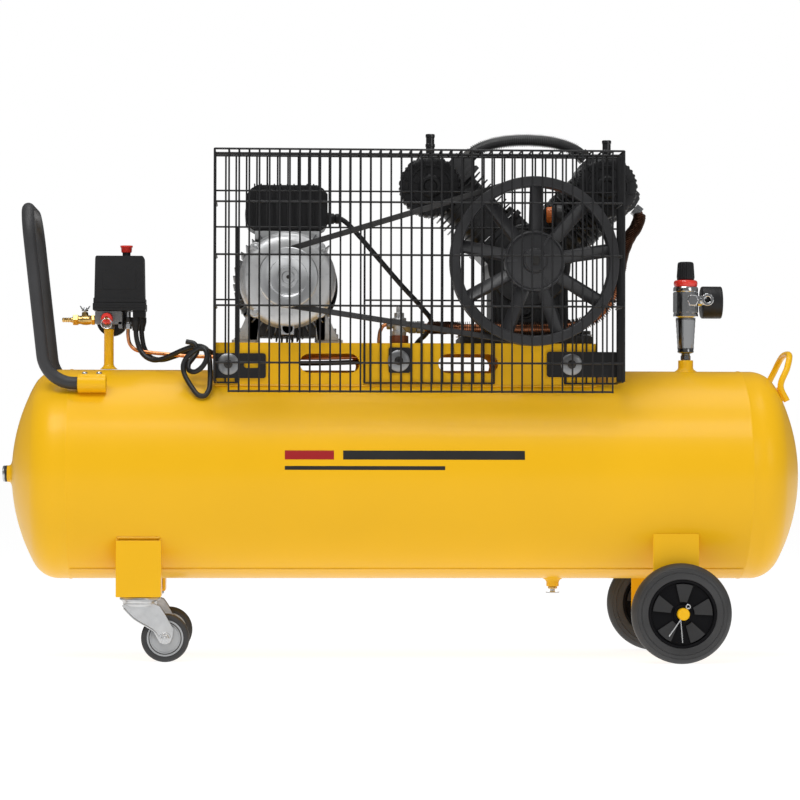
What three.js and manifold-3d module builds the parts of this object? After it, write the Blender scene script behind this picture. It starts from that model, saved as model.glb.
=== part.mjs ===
// Belt-driven V-twin air compressor on a horizontal tank. Millimetres, +Z up, floor at Z = 0.
// The tank lies along X, the belt and its wire guard face -Y.
import * as THREE from "three";
import { mergeVertices } from "three/addons/utils/BufferGeometryUtils.js";
import Module from "manifold-3d";

const wasm = await Module();
wasm.setup();

// ---------- driving dimensions ----------
const GAP = 0.3;
const TANK = { radius: 166, axisZ: 292, left: -620, right: 635, crown: 295, knuckle: 45, wall: 3 };
const PORT = { radius: 13, bore: 10.5, end: -628 };
const DECK = { left: -298.5, right: 304.5, half: 92, top: 499, plate: 4, hem: 433.4 };
const DECK_SLOT = { centres: [-117.5, 100.5], length: 94, height: 30, z: 467 };
const CABLE_HOLE = { x: 20, y: 10, radius: 9 };
const TUBE_HOLE = { x: -38, y: -40, radius: 7 };
const CHECK = { x: -6, y: -40 };
const OIL = { x: 236, y: -67, z: 704 };
const HANDLE = { y: 110, z: 434, tube: 10, corner: -560, bend: 49, lean: 0.1126, top: 709 };
const SOCKET = { left: -510.5, right: -466, radius: 15, bore: 10.4 };
const LOOP_ROD = 5;
const CASTER = { x: -413, y: 105, trail: 40, wheel: 37.5, width: 26, plateTop: 102, fork: 24 };
const CASTER_LEG = { left: -449, right: -379, outer: 137, inner: 73, plate: 4 };
const AXLE = { x: 428, z: 78, radius: 9.5, half: 192 };
const WHEEL = { radius: 78, width: 35, y: 163, bore: 9.9 };
const BRACKET = { left: 387, right: 459, y: 138, plate: 4, bottom: 54 };
const SWITCH = { riser: -467.5, riserTop: 523, manifoldTop: 551, flangeTop: 564, coverTop: 639 };
const BUTTON = -440;
const SAFETY = { x: -470, z: 539 };
const UNLOAD_VALVE = -437;
const GLANDS = [[-424.5, -8], [-416, 4]];
const DRAIN = 243;
const OUTLET = { z: 537, tip: -542 };
const REG = { x: 457.5, boss: 476, bowl: 492, body: 545, ring: 595, knob: 605, top: 634.5 };
const GAUGE = { left: 484, right: 517, radius: 26, y: 14, z: 570 };
const REG_OUTLET = { x: 490, z: 573, face: -22 };
const MOTOR = { x: -183.5, z: 598, body: 87, bell: 76, front: -62, rear: 120, tail: 190, shaft: 9.5 };
const BOX = { x: -184, halfX: 64, halfY: 48, bottom: 678, top: 752 };
const DRIVE = { y: -140, half: 25, belt: 6.5, groove: 7.5, pulley: 46.6, flywheel: 132, drop: 9 };
const PUMP = { x: 200, z: 625.5, shaft: 12, case: 66, halfY: 62, footLeft: 90, footRight: 302 };
const BARREL = { base: 76, top: 165, half: 50, bore: 30, offset: 10 };
const HEAD = { top: 205, half: 55 };
const FILTER = { y0: -88, y1: -57.5, radius: 49, z: 747, left: 41, right: 321, snorkel: 7 };
const FIN_TUBE = 10.5;
const GUARD = { left: -299, right: 337.5, front: -186, rear: -94, top: 796, wire: 1.8 };
const GUARD_FOOT = { corner: 437, hem: 421 };
const GUARD_ROWS = [GUARD_FOOT.corner, 465, 553, 631.5, 713];
const GUARD_SCREWS = [[-276.5, 465], [-9, 471], [263.5, 466]];
const CABLE = 4;
const UNLOADER = 3;

// ---------- paint and metal ----------
const YELLOW = { color: 0xf2b316, roughness: 0.35, metalness: 0.0 };
const BLACK_METAL = { color: 0x1b1c1e, roughness: 0.55, metalness: 0.3 };
const BLACK_PLASTIC = { color: 0x1d1d1f, roughness: 0.5, metalness: 0.0 };
const RUBBER = { color: 0x161617, roughness: 0.8, metalness: 0.0 };
const ALUMINIUM = { color: 0xb4b6b8, roughness: 0.45, metalness: 0.8 };
const CHROME = { color: 0xd0d2d4, roughness: 0.18, metalness: 1.0 };
const ZINC = { color: 0xc2c4c6, roughness: 0.35, metalness: 0.9 };
const BRASS = { color: 0xc89a4a, roughness: 0.35, metalness: 0.9 };
const COPPER = { color: 0xb8653a, roughness: 0.4, metalness: 0.9 };
const RED = { color: 0xd0202a, roughness: 0.4, metalness: 0.0 };
const ORANGE = { color: 0xe06a28, roughness: 0.45, metalness: 0.0 };

const group = new THREE.Group();
group.name = "v_twin_compressor";

// ---------- solids ----------
function signedVolume(position, index) {
  const [a, b, c] = [new THREE.Vector3(), new THREE.Vector3(), new THREE.Vector3()];
  let total = 0;
  for (let i = 0; i < index.length; i += 3) {
    a.fromArray(position, 3 * index[i]);
    b.fromArray(position, 3 * index[i + 1]);
    c.fromArray(position, 3 * index[i + 2]);
    total += a.dot(b.cross(c));
  }
  return total;
}

function toSolid(geometry) {
  const bare = geometry.index ? geometry.toNonIndexed() : geometry.clone();
  bare.deleteAttribute("normal");
  bare.deleteAttribute("uv");
  const merged = mergeVertices(bare, 1e-4);
  const source = merged.index.array;
  const corners = [];
  for (let i = 0; i < source.length; i += 3) {
    const [a, b, c] = [source[i], source[i + 1], source[i + 2]];
    if (a !== b && b !== c && c !== a) corners.push(a, b, c);
  }
  const position = merged.attributes.position.array;
  if (signedVolume(position, corners) < 0) corners.reverse();
  return new wasm.Manifold(new wasm.Mesh({
    numProp: 3,
    vertProperties: new Float32Array(position),
    triVerts: new Uint32Array(corners),
  }));
}

const join = (...solids) => solids.reduce((whole, next) => whole.add(next));
const cut = (solid, ...tools) => tools.reduce((rest, tool) => rest.subtract(tool), solid);

function addPart(name, solid, finish) {
  if (solid.decompose().length !== 1) throw new Error(`${name} is not one body`);
  const mesh = solid.getMesh();
  const geometry = new THREE.BufferGeometry();
  geometry.setAttribute("position", new THREE.BufferAttribute(new Float32Array(mesh.vertProperties), 3));
  geometry.setIndex(new THREE.BufferAttribute(new Uint32Array(mesh.triVerts), 1));
  geometry.computeVertexNormals();
  const part = new THREE.Mesh(geometry, new THREE.MeshStandardMaterial(finish));
  part.name = name;
  group.add(part);
}

function box(x0, x1, y0, y1, z0, z1) {
  const geometry = new THREE.BoxGeometry(x1 - x0, y1 - y0, z1 - z0);
  geometry.translate((x0 + x1) / 2, (y0 + y1) / 2, (z0 + z1) / 2);
  return toSolid(geometry);
}

// Turns a shape standing along +Y into one standing along the named axis.
function alongAxis(geometry, axis) {
  if (axis === "x") geometry.rotateZ(-Math.PI / 2);
  if (axis === "z") geometry.rotateX(Math.PI / 2);
  return geometry;
}

// Round (or many-sided) bar from `from` to `to` along the axis; (u, v) are the other two
// coordinates in x, y, z order.
function bar(axis, from, to, u, v, radius, sides = 12, endRadius = radius) {
  const geometry = new THREE.CylinderGeometry(endRadius, radius, to - from, sides);
  alongAxis(geometry, axis);
  const middle = (from + to) / 2;
  if (axis === "x") geometry.translate(middle, u, v);
  if (axis === "y") geometry.translate(u, middle, v);
  if (axis === "z") geometry.translate(u, v, middle);
  return toSolid(geometry);
}

// Body of revolution: profile is [radius, distance along the axis] pairs.
function turned(axis, profile, u, v, sides = 20) {
  const geometry = new THREE.LatheGeometry(profile.map(([r, h]) => new THREE.Vector2(r, h)), sides);
  alongAxis(geometry, axis);
  if (axis === "x") geometry.translate(0, u, v);
  if (axis === "y") geometry.translate(u, 0, v);
  if (axis === "z") geometry.translate(u, v, 0);
  return toSolid(geometry);
}

// Flat plate drawn in X and Z, standing between two Y planes.
function plateXZ(shape, y0, y1, curveSegments = 8) {
  const geometry = new THREE.ExtrudeGeometry(shape, { depth: y1 - y0, bevelEnabled: false, curveSegments });
  geometry.rotateX(Math.PI / 2);
  geometry.translate(0, y1, 0);
  return toSolid(geometry);
}

function outline(points) {
  return new THREE.Shape(points.map(([x, z]) => new THREE.Vector2(x, z)));
}

// Round section swept along a curve.
function sweep(curve, radius, steps, sides = 10) {
  const section = new THREE.Shape();
  for (let i = 0; i < sides; i += 1) {
    const angle = (2 * Math.PI * i) / sides;
    const [x, y] = [radius * Math.cos(angle), radius * Math.sin(angle)];
    if (i === 0) section.moveTo(x, y);
    else section.lineTo(x, y);
  }
  return toSolid(new THREE.ExtrudeGeometry(section, { steps, bevelEnabled: false, extrudePath: curve }));
}

function smooth(points) {
  return new THREE.CatmullRomCurve3(points.map((p) => new THREE.Vector3(...p)), false, "centripetal");
}

// Straight runs joined by circular bends.
function bent(points, radius) {
  const path = new THREE.CurvePath();
  const at = points.map((p) => new THREE.Vector3(...p));
  let start = at[0];
  for (let i = 1; i < at.length - 1; i += 1) {
    const back = at[i - 1].clone().sub(at[i]).normalize();
    const on = at[i + 1].clone().sub(at[i]).normalize();
    const setback = radius / Math.tan(back.angleTo(on) / 2);
    const enter = at[i].clone().addScaledVector(back, setback);
    const leave = at[i].clone().addScaledVector(on, setback);
    path.add(new THREE.LineCurve3(start, enter));
    path.add(new THREE.QuadraticBezierCurve3(enter, at[i], leave));
    start = leave;
  }
  path.add(new THREE.LineCurve3(start, at.at(-1)));
  return path;
}

const mirrorY = (solid) => solid.mirror([0, 1, 0]);

// ---------- tank ----------
function dish(radius, crown, knuckle, apex, way, crownSteps, knuckleSteps) {
  const join0 = Math.asin((radius - knuckle) / (crown - knuckle));
  const depth = crown - (crown - knuckle) * Math.cos(join0);
  const points = [];
  for (let i = 0; i <= crownSteps; i += 1) {
    const angle = (join0 * i) / crownSteps;
    points.push([crown * Math.sin(angle), apex - way * crown * (1 - Math.cos(angle))]);
  }
  for (let i = 1; i <= knuckleSteps; i += 1) {
    const angle = join0 + ((Math.PI / 2 - join0) * i) / knuckleSteps;
    const along = depth - knuckle * Math.cos(angle);
    points.push([radius - knuckle + knuckle * Math.sin(angle), apex - way * along]);
  }
  return points;
}

function tankShell() {
  const { radius, crown, knuckle, left, right, wall, axisZ } = TANK;
  const inner = [radius - wall, crown - wall, knuckle - wall];
  const outerLeft = dish(radius, crown, knuckle, left, -1, 3, 3).filter(([r]) => r > PORT.radius);
  const innerLeft = dish(...inner, left + wall, -1, 2, 1).filter(([r]) => r > PORT.bore);
  const profile = [
    ...dish(radius, crown, knuckle, right, 1, 3, 3),
    ...outerLeft.reverse(),
    [PORT.radius + 5, left - 0.5],
    [PORT.radius, left - 3],
    [PORT.radius, PORT.end],
    [PORT.bore, PORT.end],
    [PORT.bore, left + wall],
    ...innerLeft,
    ...dish(...inner, right - wall, 1, 2, 1).reverse(),
  ];
  const ribs = [bar("z", 454, REG.boss, REG.x, 0, 12), bar("z", 454, 463, REG.x, 0, 18, 20, 12)];
  const drain = [bar("z", 113, 130, DRAIN, 0, 10), bar("z", 121, 130, DRAIN, 0, 10, 20, 18)];
  const drainSeat = cut(bar("z", 109, 114, DRAIN, 0, 7.5), bar("z", 108, 113, DRAIN, 0, 3));
  const riser = bar("z", 445, DECK.top + 1, CHECK.x, CHECK.y, 10);
  const sockets = [-HANDLE.y, HANDLE.y].map((y) => cut(
    bar("x", SOCKET.left, SOCKET.right, y, HANDLE.z, SOCKET.radius, 12),
    bar("x", SOCKET.left - 1, SOCKET.right + 1, y, HANDLE.z, SOCKET.bore, 12),
  ));
  const shell = turned("x", profile, 0, axisZ, 32);
  return join(shell, ...ribs, ...drain, drainSeat, riser, ...sockets);
}
addPart("tank_shell", tankShell(), YELLOW);

const plugHead = cut(
  bar("x", PORT.end - 7, PORT.end - GAP, 0, TANK.axisZ, PORT.radius),
  bar("x", PORT.end - 8, PORT.end - 3, 0, TANK.axisZ, 5, 6),
);
addPart("tank_plug", join(plugHead, bar("x", PORT.end - 3, -612, 0, TANK.axisZ, PORT.bore - 0.5)), ZINC);

const drainWing = join(
  box(DRAIN - 11, DRAIN + 11, -2, 2, 102, 104.5),
  bar("z", 102, 108.7, DRAIN, 0, 4, 12),
  bar("z", 108.5, 112.5, DRAIN, 0, 2.6, 12),
);
addPart("drain_screw", drainWing, ZINC);

function deck() {
  const { left, right, half, top, plate, hem } = DECK;
  const body = cut(
    box(left, right, -half, half, hem, top),
    box(left - 1, right + 1, -half + plate, half - plate, hem - 1, top - plate),
  );
  const slotRadius = DECK_SLOT.height / 2;
  const slots = DECK_SLOT.centres.flatMap((x) => {
    const end = DECK_SLOT.length / 2 - slotRadius;
    return [
      box(x - end, x + end, -half - 1, half + 1, DECK_SLOT.z - slotRadius, DECK_SLOT.z + slotRadius),
      bar("y", -half - 1, half + 1, x - end, DECK_SLOT.z, slotRadius, 16),
      bar("y", -half - 1, half + 1, x + end, DECK_SLOT.z, slotRadius, 16),
    ];
  });
  const holes = [
    bar("z", 490, 500, CHECK.x, CHECK.y, 10.6),
    bar("z", 490, 500, CABLE_HOLE.x, CABLE_HOLE.y, CABLE_HOLE.radius, 12),
    bar("z", 490, 500, TUBE_HOLE.x, TUBE_HOLE.y, TUBE_HOLE.radius, 12),
  ];
  return cut(body, ...slots, ...holes);
}
addPart("platform", deck(), YELLOW);

// ---------- legs, axle, wheels ----------
const tankBody = bar("x", -560, 560, 0, TANK.axisZ, TANK.radius + 1, 36);

function casterLeg() {
  const { left, right, outer, inner, plate } = CASTER_LEG;
  const bottom = CASTER.plateTop;
  const shell = cut(
    box(left, right, -outer, -inner, bottom, 190),
    box(left + plate, right - plate, -outer + plate, -inner + 1, bottom + plate, 191),
    tankBody,
  );
  return cut(shell, bar("z", bottom - 1, bottom + plate + 1, CASTER.x, -CASTER.y, 6.4, 12));
}
addPart("caster_leg_front", casterLeg(), YELLOW);
addPart("caster_leg_rear", mirrorY(casterLeg()), YELLOW);

function casterFork() {
  const { x, y, trail, wheel, plateTop, fork } = CASTER;
  const head = plateTop - 21;
  const axleX = x + trail;
  const cheek = outline([
    [x - 30, head + 6],
    [x + 30, head + 6],
    [axleX + 11, wheel + 4],
    [axleX + 5, wheel - 9],
    [axleX - 7, wheel - 8],
    [axleX - 12, wheel + 2],
  ]);
  return join(
    bar("z", plateTop - 8, plateTop - GAP, x, -y, 31.5, 24),
    bar("z", head + 4, plateTop - 7, x, -y, 22),
    bar("z", plateTop - 8, plateTop + 10, x, -y, 6, 12),
    box(x - 30, x + 30, -y - fork / 2 - 5, -y + fork / 2 + 5, head + 3, head + 6),
    plateXZ(cheek, -y - fork / 2 - 5, -y - fork / 2 - 2),
    plateXZ(cheek, -y + fork / 2 + 2, -y + fork / 2 + 5),
    bar("y", -y - fork / 2 - 10, -y + fork / 2 + 10, axleX, wheel, 4, 12),
    bar("y", -y - fork / 2 - 10, -y - fork / 2 - 4, axleX, wheel, 7, 6),
    bar("y", -y + fork / 2 + 4, -y + fork / 2 + 10, axleX, wheel, 7, 6),
  );
}
addPart("caster_fork_front", casterFork(), ZINC);
addPart("caster_fork_rear", mirrorY(casterFork()), ZINC);

function casterWheel() {
  const { wheel, width } = CASTER;
  const half = width / 2;
  const profile = [
    [4.4, -half], [12, -half], [24, -half + 3], [wheel - 4, -half], [wheel, -half + 5],
    [wheel, half - 5], [wheel - 4, half], [24, half - 3], [12, half], [4.4, half], [4.4, -half],
  ];
  return turned("y", profile, CASTER.x + CASTER.trail, wheel, 16).translate([0, -CASTER.y, 0]);
}
addPart("caster_wheel_front", casterWheel(), RUBBER);
addPart("caster_wheel_rear", mirrorY(casterWheel()), RUBBER);

function axleBracket() {
  const { left, right, y, plate, bottom } = BRACKET;
  const face = box(left, right, -y - plate / 2, -y + plate / 2, bottom, 215);
  const lip = box(left, right, -y, -y + 26, bottom, bottom + plate);
  return cut(join(face, lip), tankBody, bar("y", -150, -120, AXLE.x, AXLE.z, AXLE.radius + 1, 16));
}
addPart("axle_bracket_front", axleBracket(), YELLOW);
addPart("axle_bracket_rear", mirrorY(axleBracket()), YELLOW);

const pinY = WHEEL.y + WHEEL.width / 2 + 5;
const pins = [-pinY, pinY].map((y) => bar("z", AXLE.z - 17, AXLE.z + 14, AXLE.x, y, 1.6, 8));
addPart("axle", join(bar("y", -AXLE.half, AXLE.half, AXLE.x, AXLE.z, AXLE.radius, 24), ...pins), YELLOW);

function roadWheel() {
  const { radius, width, bore } = WHEEL;
  const half = width / 2;
  const profile = [
    [bore, -half], [14, -half], [14, -half + 5], [52, -half + 5], [53, -half], [66, -half],
    [radius, -half + 9],
    [radius, half - 9], [66, half], [53, half], [52, half - 5], [14, half - 5], [14, half], [bore, half],
    [bore, -half],
  ];
  return turned("y", profile, AXLE.x, AXLE.z, 22).translate([0, -WHEEL.y, 0]);
}
addPart("wheel_front", roadWheel(), RUBBER);
addPart("wheel_rear", mirrorY(roadWheel()), RUBBER);

// ---------- handle and lifting loop ----------
function handleBar() {
  const { y, z, tube, corner, bend, lean, top } = HANDLE;
  const topX = corner - Math.tan(lean) * (top - z);
  const corners = [
    [SOCKET.right - 3, -y, z], [corner, -y, z], [topX, -y, top],
    [topX, y, top], [corner, y, z], [SOCKET.right - 3, y, z],
  ];
  const path = bent(corners, bend);
  return sweep(path, tube, 40, 8);
}
addPart("handle_bar", handleBar(), RUBBER);

const loopSide = [[611, -60, 410], [601, -60, 433.5], [612, -56, 462], [619, -38, 481], [621, 0, 486]];
const loopPath = smooth([...loopSide, ...loopSide.slice(0, -1).reverse().map(([x, y, z]) => [x, -y, z])]);
addPart("lifting_loop", sweep(loopPath, LOOP_ROD, 26, 8), YELLOW);

// ---------- pressure switch and outlet ----------
const riserProfile = [[0, 458.6], [14, 458.6], [7.7, 467], [7.7, SWITCH.riserTop], [0, SWITCH.riserTop]];
addPart("riser_pipe", turned("z", riserProfile, SWITCH.riser, 0, 20), YELLOW);

const manifold = join(
  box(-489, -446, -14, 8.7, 530, SWITCH.manifoldTop),
  bar("z", SWITCH.riserTop + GAP, 532, SWITCH.riser, 0, 9),
  box(-452, -446, -14, 8.7, SWITCH.riserTop + GAP, 532),
);
const valveBore = bar("y", -15, -8, SAFETY.x, SAFETY.z, 6.4);
const outletBore = bar("x", -490, -480, -2, OUTLET.z, 5.4);
addPart("switch_manifold", cut(manifold, valveBore, outletBore), ALUMINIUM);

const switchBase = join(
  box(-492, -408, -30, 30, SWITCH.manifoldTop + GAP, SWITCH.flangeTop),
  bar("y", 9, 30, -463, 537, 25, 28),
  box(-429, -409, -20, 12, 532, SWITCH.manifoldTop + 1),
);
const glandBores = GLANDS.map(([x, y]) => bar("z", 520, 545, x, y, CABLE + 2 * GAP, 12));
const unloader = join(
  bar("z", 535, SWITCH.flangeTop - 1, UNLOAD_VALVE, 0, 4, 12),
  bar("z", 522, 536, UNLOAD_VALVE, 0, 6, 6),
);
const tubeBore = bar("z", 521, 530, UNLOAD_VALVE, 0, UNLOADER + GAP, 10);
addPart("switch_base", cut(join(switchBase, unloader), tubeBore, ...glandBores), BLACK_PLASTIC);

function switchCover() {
  const face = outline([
    [-491, SWITCH.flangeTop + GAP], [-409, SWITCH.flangeTop + GAP], [-411, 634],
    [-415, SWITCH.coverTop], [-485, SWITCH.coverTop], [-489, 634],
  ]);
  return cut(plateXZ(face, -29, 29), bar("z", 615, 640, BUTTON, 0, 7.2));
}
addPart("switch_cover", switchCover(), BLACK_PLASTIC);
const buttonProfile = [[0, 622], [6.7, 622], [6.7, 644], [9, 646], [10, 656], [0, 656]];
addPart("switch_button", turned("z", buttonProfile, BUTTON, 0, 14), RED);

const safety = join(bar("y", -30, -14.3, SAFETY.x, SAFETY.z, 9), bar("y", -15, -8.4, SAFETY.x, SAFETY.z, 6));
addPart("safety_valve", cut(safety, bar("y", -31, -20, SAFETY.x, SAFETY.z, 2.6, 12)), RED);
const ringPath = new THREE.CatmullRomCurve3(Array.from({ length: 12 }, (_, i) => {
  const angle = (Math.PI * i) / 6;
  return new THREE.Vector3(SAFETY.x + 8.2 * Math.sin(angle), -33.5, SAFETY.z - 8.5 + 8.2 * Math.cos(angle));
}), true);
const pullRing = join(sweep(ringPath, 1.1, 16, 6), bar("y", -34.5, -21, SAFETY.x, SAFETY.z - 0.3, 2, 12));
addPart("safety_pull_ring", pullRing, CHROME);

const cock = join(
  bar("x", -490, -482, -2, OUTLET.z, 5),
  bar("x", -495, -489.3, -2, OUTLET.z, 8.5, 6),
  bar("x", -517, -494, -2, OUTLET.z, 8),
  bar("x", -526, -516, -2, OUTLET.z, 9.5, 6),
  bar("x", OUTLET.tip, -525, -2, OUTLET.z, 4, 12),
  bar("z", OUTLET.z, 550, -505.5, -2, 5, 12),
);
const cockBore = bar("x", OUTLET.tip - 1, -520, -2, OUTLET.z, 2.4, 10);
addPart("outlet_valve", cut(cock, cockBore, bar("z", 546, 551, -505.5, -2, 2.4, 10)), BRASS);
const lever = join(
  bar("z", 546.4, 552, -505.5, -2, 2, 10),
  bar("z", 550.4, 554, -505.5, -2, 5.5, 12),
  box(-513, -498, -4, 0, 553, 556),
  box(-513, -510, -4, 0, 555, 560),
  box(-501, -498, -4, 0, 555, 560),
);
addPart("outlet_lever", lever, CHROME);

// ---------- regulator and gauge ----------
const regulator = turned("z", [
  [0, REG.boss + GAP], [8, REG.boss + GAP], [8, 485], [13, 485], [13, REG.bowl], [13, REG.bowl + 1],
  [16, REG.body], [20, REG.body], [20, REG.ring], [18.3, REG.ring + 1], [18.3, REG.knob - 1],
  [17, REG.knob - GAP], [0, REG.knob - GAP],
], REG.x, 0, 16);
const regulatorPorts = join(
  bar("x", REG.x, GAUGE.left - GAP, 0, GAUGE.z, 7),
  bar("y", REG_OUTLET.face, 0, REG.x + 9, 572, 9.8, 6),
  bar("y", REG_OUTLET.face, 0, REG_OUTLET.x, REG_OUTLET.z, 9.8),
  box(REG.x, REG_OUTLET.x, -12, 0, 566, 580),
);
const outletThread = bar("y", REG_OUTLET.face - 1, -8, REG_OUTLET.x, REG_OUTLET.z, 4.7, 12);
const gaugeRoom = bar("x", GAUGE.left - GAP, GAUGE.right + 1, GAUGE.y, GAUGE.z, GAUGE.radius + GAP, 32);
const knobBore = bar("z", 590, 606, REG.x, 0, 5.3, 12);
addPart("regulator_body", cut(join(regulator, regulatorPorts), outletThread, gaugeRoom, knobBore), CHROME);

function fluted(radius, dents, z0, z1, x, y) {
  const flutes = Array.from({ length: dents }, (_, i) => {
    const angle = (2 * Math.PI * i) / dents;
    const [dx, dy] = [(radius + 1) * Math.cos(angle), (radius + 1) * Math.sin(angle)];
    return bar("z", z0 - 1, z1 + 1, x + dx, y + dy, 2.6, 8);
  });
  return cut(bar("z", z0, z1, x, y, radius, 24), ...flutes);
}
const knobStem = bar("z", 592, REG.knob + 1, REG.x, 0, 5, 12);
addPart("regulator_knob", join(fluted(14, 8, REG.knob, REG.top, REG.x, 0), knobStem), BLACK_PLASTIC);

const gaugeCup = cut(
  bar("x", GAUGE.left, GAUGE.right, GAUGE.y, GAUGE.z, GAUGE.radius, 32),
  bar("x", GAUGE.right - 8, GAUGE.right + 1, GAUGE.y, GAUGE.z, GAUGE.radius - 3, 32),
  bar("x", GAUGE.right - 12, GAUGE.right - 7, GAUGE.y, GAUGE.z, 1.9, 10),
);
const gaugeCase = cut(gaugeCup, box(GAUGE.left - 1, 500.5, -23, -7.7, 560, 586));
addPart("gauge_case", gaugeCase, BLACK_PLASTIC);
const needle = join(
  bar("x", GAUGE.right - 11, GAUGE.right - 5, GAUGE.y, GAUGE.z, 1.5, 10),
  bar("x", GAUGE.right - 6.5, GAUGE.right - 5, GAUGE.y, GAUGE.z, 3.5, 12),
  box(GAUGE.right - 6.2, GAUGE.right - 5.2, -0.8, 0.8, -7, 18)
    .rotate([135, 0, 0])
    .translate([0, GAUGE.y, GAUGE.z]),
);
addPart("gauge_needle", needle, RED);

// ---------- motor ----------
function motorHousing() {
  const { x, z, body, front, rear } = MOTOR;
  const ribs = [];
  for (let i = 0; i < 14; i += 1) {
    const angle = (Math.PI * 2 * (i + 0.5)) / 14;
    const rib = box(-2, 2, front, rear, 70, body).rotate([0, (angle * 180) / Math.PI, 0]);
    ribs.push(rib.translate([x, 0, z]));
  }
  const feet = [-1, 1].flatMap((side) => {
    const [inX, outX] = [x + side * 46, x + side * 88];
    const [legIn, legOut] = [x + side * 44, x + side * 62];
    return [
      box(Math.min(inX, outX), Math.max(inX, outX), -40, 62, DECK.top + GAP, 510),
      box(Math.min(legIn, legOut), Math.max(legIn, legOut), -40, 62, 505, 558),
      ...[-28, 50].map((y) => bar("z", 509, 522, x + side * 74, y, 5, 8)),
    ];
  });
  const solid = join(bar("y", front, rear, x, z, 75, 32), ...ribs, ...feet);
  const flat = box(BOX.x - 72, BOX.x + 72, -BOX.halfY - 2, BOX.halfY + 2, BOX.bottom - GAP, 700);
  return cut(solid, flat, bar("y", front - 1, rear + 1, x, z, 50, 24));
}
addPart("motor_housing", motorHousing(), ALUMINIUM);

const bell = turned("y", [
  [11, -96], [24, -96], [28, -92], [66, -90], [MOTOR.bell, -82], [MOTOR.bell, MOTOR.front - GAP],
  [64, MOTOR.front - GAP], [60, -76], [11, -76], [11, -96],
], MOTOR.x, MOTOR.z, 20);
const bellLug = box(MOTOR.x - 9, MOTOR.x + 9, -90, -66, MOTOR.z - 86, MOTOR.z - 72);
addPart("motor_end_bell", join(bell, bellLug), ALUMINIUM);

const tail = turned("y", [
  [84, MOTOR.rear + GAP], [84, 180], [74, MOTOR.tail], [0, MOTOR.tail], [0, MOTOR.tail - 3],
  [72, MOTOR.tail - 3], [81, 178], [81, MOTOR.rear + GAP], [84, MOTOR.rear + GAP],
], MOTOR.x, MOTOR.z, 24);
const vents = [-40, -24, -8, 8, 24, 40].map((dx) => {
  const reach = Math.sqrt(62 * 62 - dx * dx);
  return box(MOTOR.x + dx - 4, MOTOR.x + dx + 4, 184, 192, MOTOR.z - reach, MOTOR.z + reach);
});
addPart("motor_fan_cover", cut(tail, ...vents), BLACK_METAL);

const fanBlades = Array.from({ length: 6 }, (_, i) => (
  box(-1.5, 1.5, 128, 156, 10, 70).rotate([0, 60 * i, 0]).translate([MOTOR.x, 0, MOTOR.z])
));
const rotor = join(
  bar("y", -162, 156, MOTOR.x, MOTOR.z, MOTOR.shaft),
  bar("y", -40, 100, MOTOR.x, MOTOR.z, 48, 24),
  bar("y", 126, 132, MOTOR.x, MOTOR.z, 62, 12),
  ...fanBlades,
);
addPart("motor_rotor", rotor, ZINC);

function pulley(x, z, rimRadius, bore, hubRadius, sides) {
  const { y, half, groove, drop } = DRIVE;
  const floor = rimRadius - drop - 1.4;
  return turned("y", [
    [bore, y - half], [rimRadius, y - half], [rimRadius, y - groove], [floor, y - groove],
    [floor, y + groove], [rimRadius, y + groove], [rimRadius, y + 13], [hubRadius, y + 13],
    [hubRadius, y + half], [bore, y + half], [bore, y - half],
  ], x, z, sides);
}
addPart("motor_pulley", pulley(MOTOR.x, MOTOR.z, DRIVE.pulley, MOTOR.shaft + GAP, 16, 20), ALUMINIUM);

function terminalBox() {
  const { x, halfX, halfY, bottom, top } = BOX;
  const face = outline([
    [x - halfX, bottom + 8], [x - halfX + 8, bottom], [x + halfX - 8, bottom], [x + halfX, bottom + 8],
    [x + halfX, top - 14], [x + halfX - 16, top], [x - halfX + 16, top], [x - halfX, top - 14],
  ]);
  const gland = cut(
    bar("x", x + halfX - 2, -101, 0, 701, 8, 12),
    bar("x", -112, -100, 0, 700.5, CABLE + 5 * GAP, 12),
  );
  return join(plateXZ(face, -halfY, halfY), gland);
}
addPart("capacitor_box", terminalBox(), BLACK_PLASTIC);

// ---------- pump ----------
function tilted(solid, side) {
  return solid.rotate([0, 45 * side, 0]).translate([PUMP.x, 0, PUMP.z]);
}

function crankcase() {
  const { x, z, case: radius, halfY, footLeft, footRight } = PUMP;
  const seatY = BARREL.half - 2;
  const seats = [-1, 1].map((side) => tilted(box(-46, 46, -seatY, seatY, 20, BARREL.base - GAP), side));
  const outer = join(
    bar("y", -halfY, halfY, x, z, radius, 28),
    box(x - 60, x + 62, -50, 50, 505, z - 20),
    box(footLeft, footRight, -60, 60, DECK.top + GAP, 513),
    box(OIL.x, OIL.x + 16, OIL.y - 11, OIL.y + 12, 660, OIL.z + 10),
    ...seats,
  );
  const bores = [-1, 1].map((side) => (
    tilted(bar("z", 20, BARREL.base + 1, 0, side * BARREL.offset, BARREL.bore + 4), side)
  ));
  return cut(
    outer,
    bar("y", -48, 48, x, z, 52),
    bar("y", -halfY - 1, 0, x, z, PUMP.shaft + 1, 20),
    bar("x", OIL.x - 1, OIL.x + 9, OIL.y, OIL.z, 7 + GAP, 12),
    ...bores,
  );
}
addPart("crankcase", crankcase(), BLACK_METAL);

function barrel(side) {
  const y = side * BARREL.offset;
  const core = bar("z", BARREL.base, BARREL.top - GAP, 0, y, 38);
  const fins = [0, 1, 2, 3, 4].map((i) => {
    const s = BARREL.base + 12 + i * 15;
    return box(-BARREL.half, BARREL.half, -BARREL.half, BARREL.half, s, s + 5);
  });
  const flange = box(-46, 46, -46, 46, BARREL.base, BARREL.base + 8);
  return tilted(cut(join(core, ...fins, flange), bar("z", 70, 170, 0, y, BARREL.bore)), side);
}
addPart("cylinder_left", barrel(-1), BLACK_METAL);
addPart("cylinder_right", barrel(1), BLACK_METAL);

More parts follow.
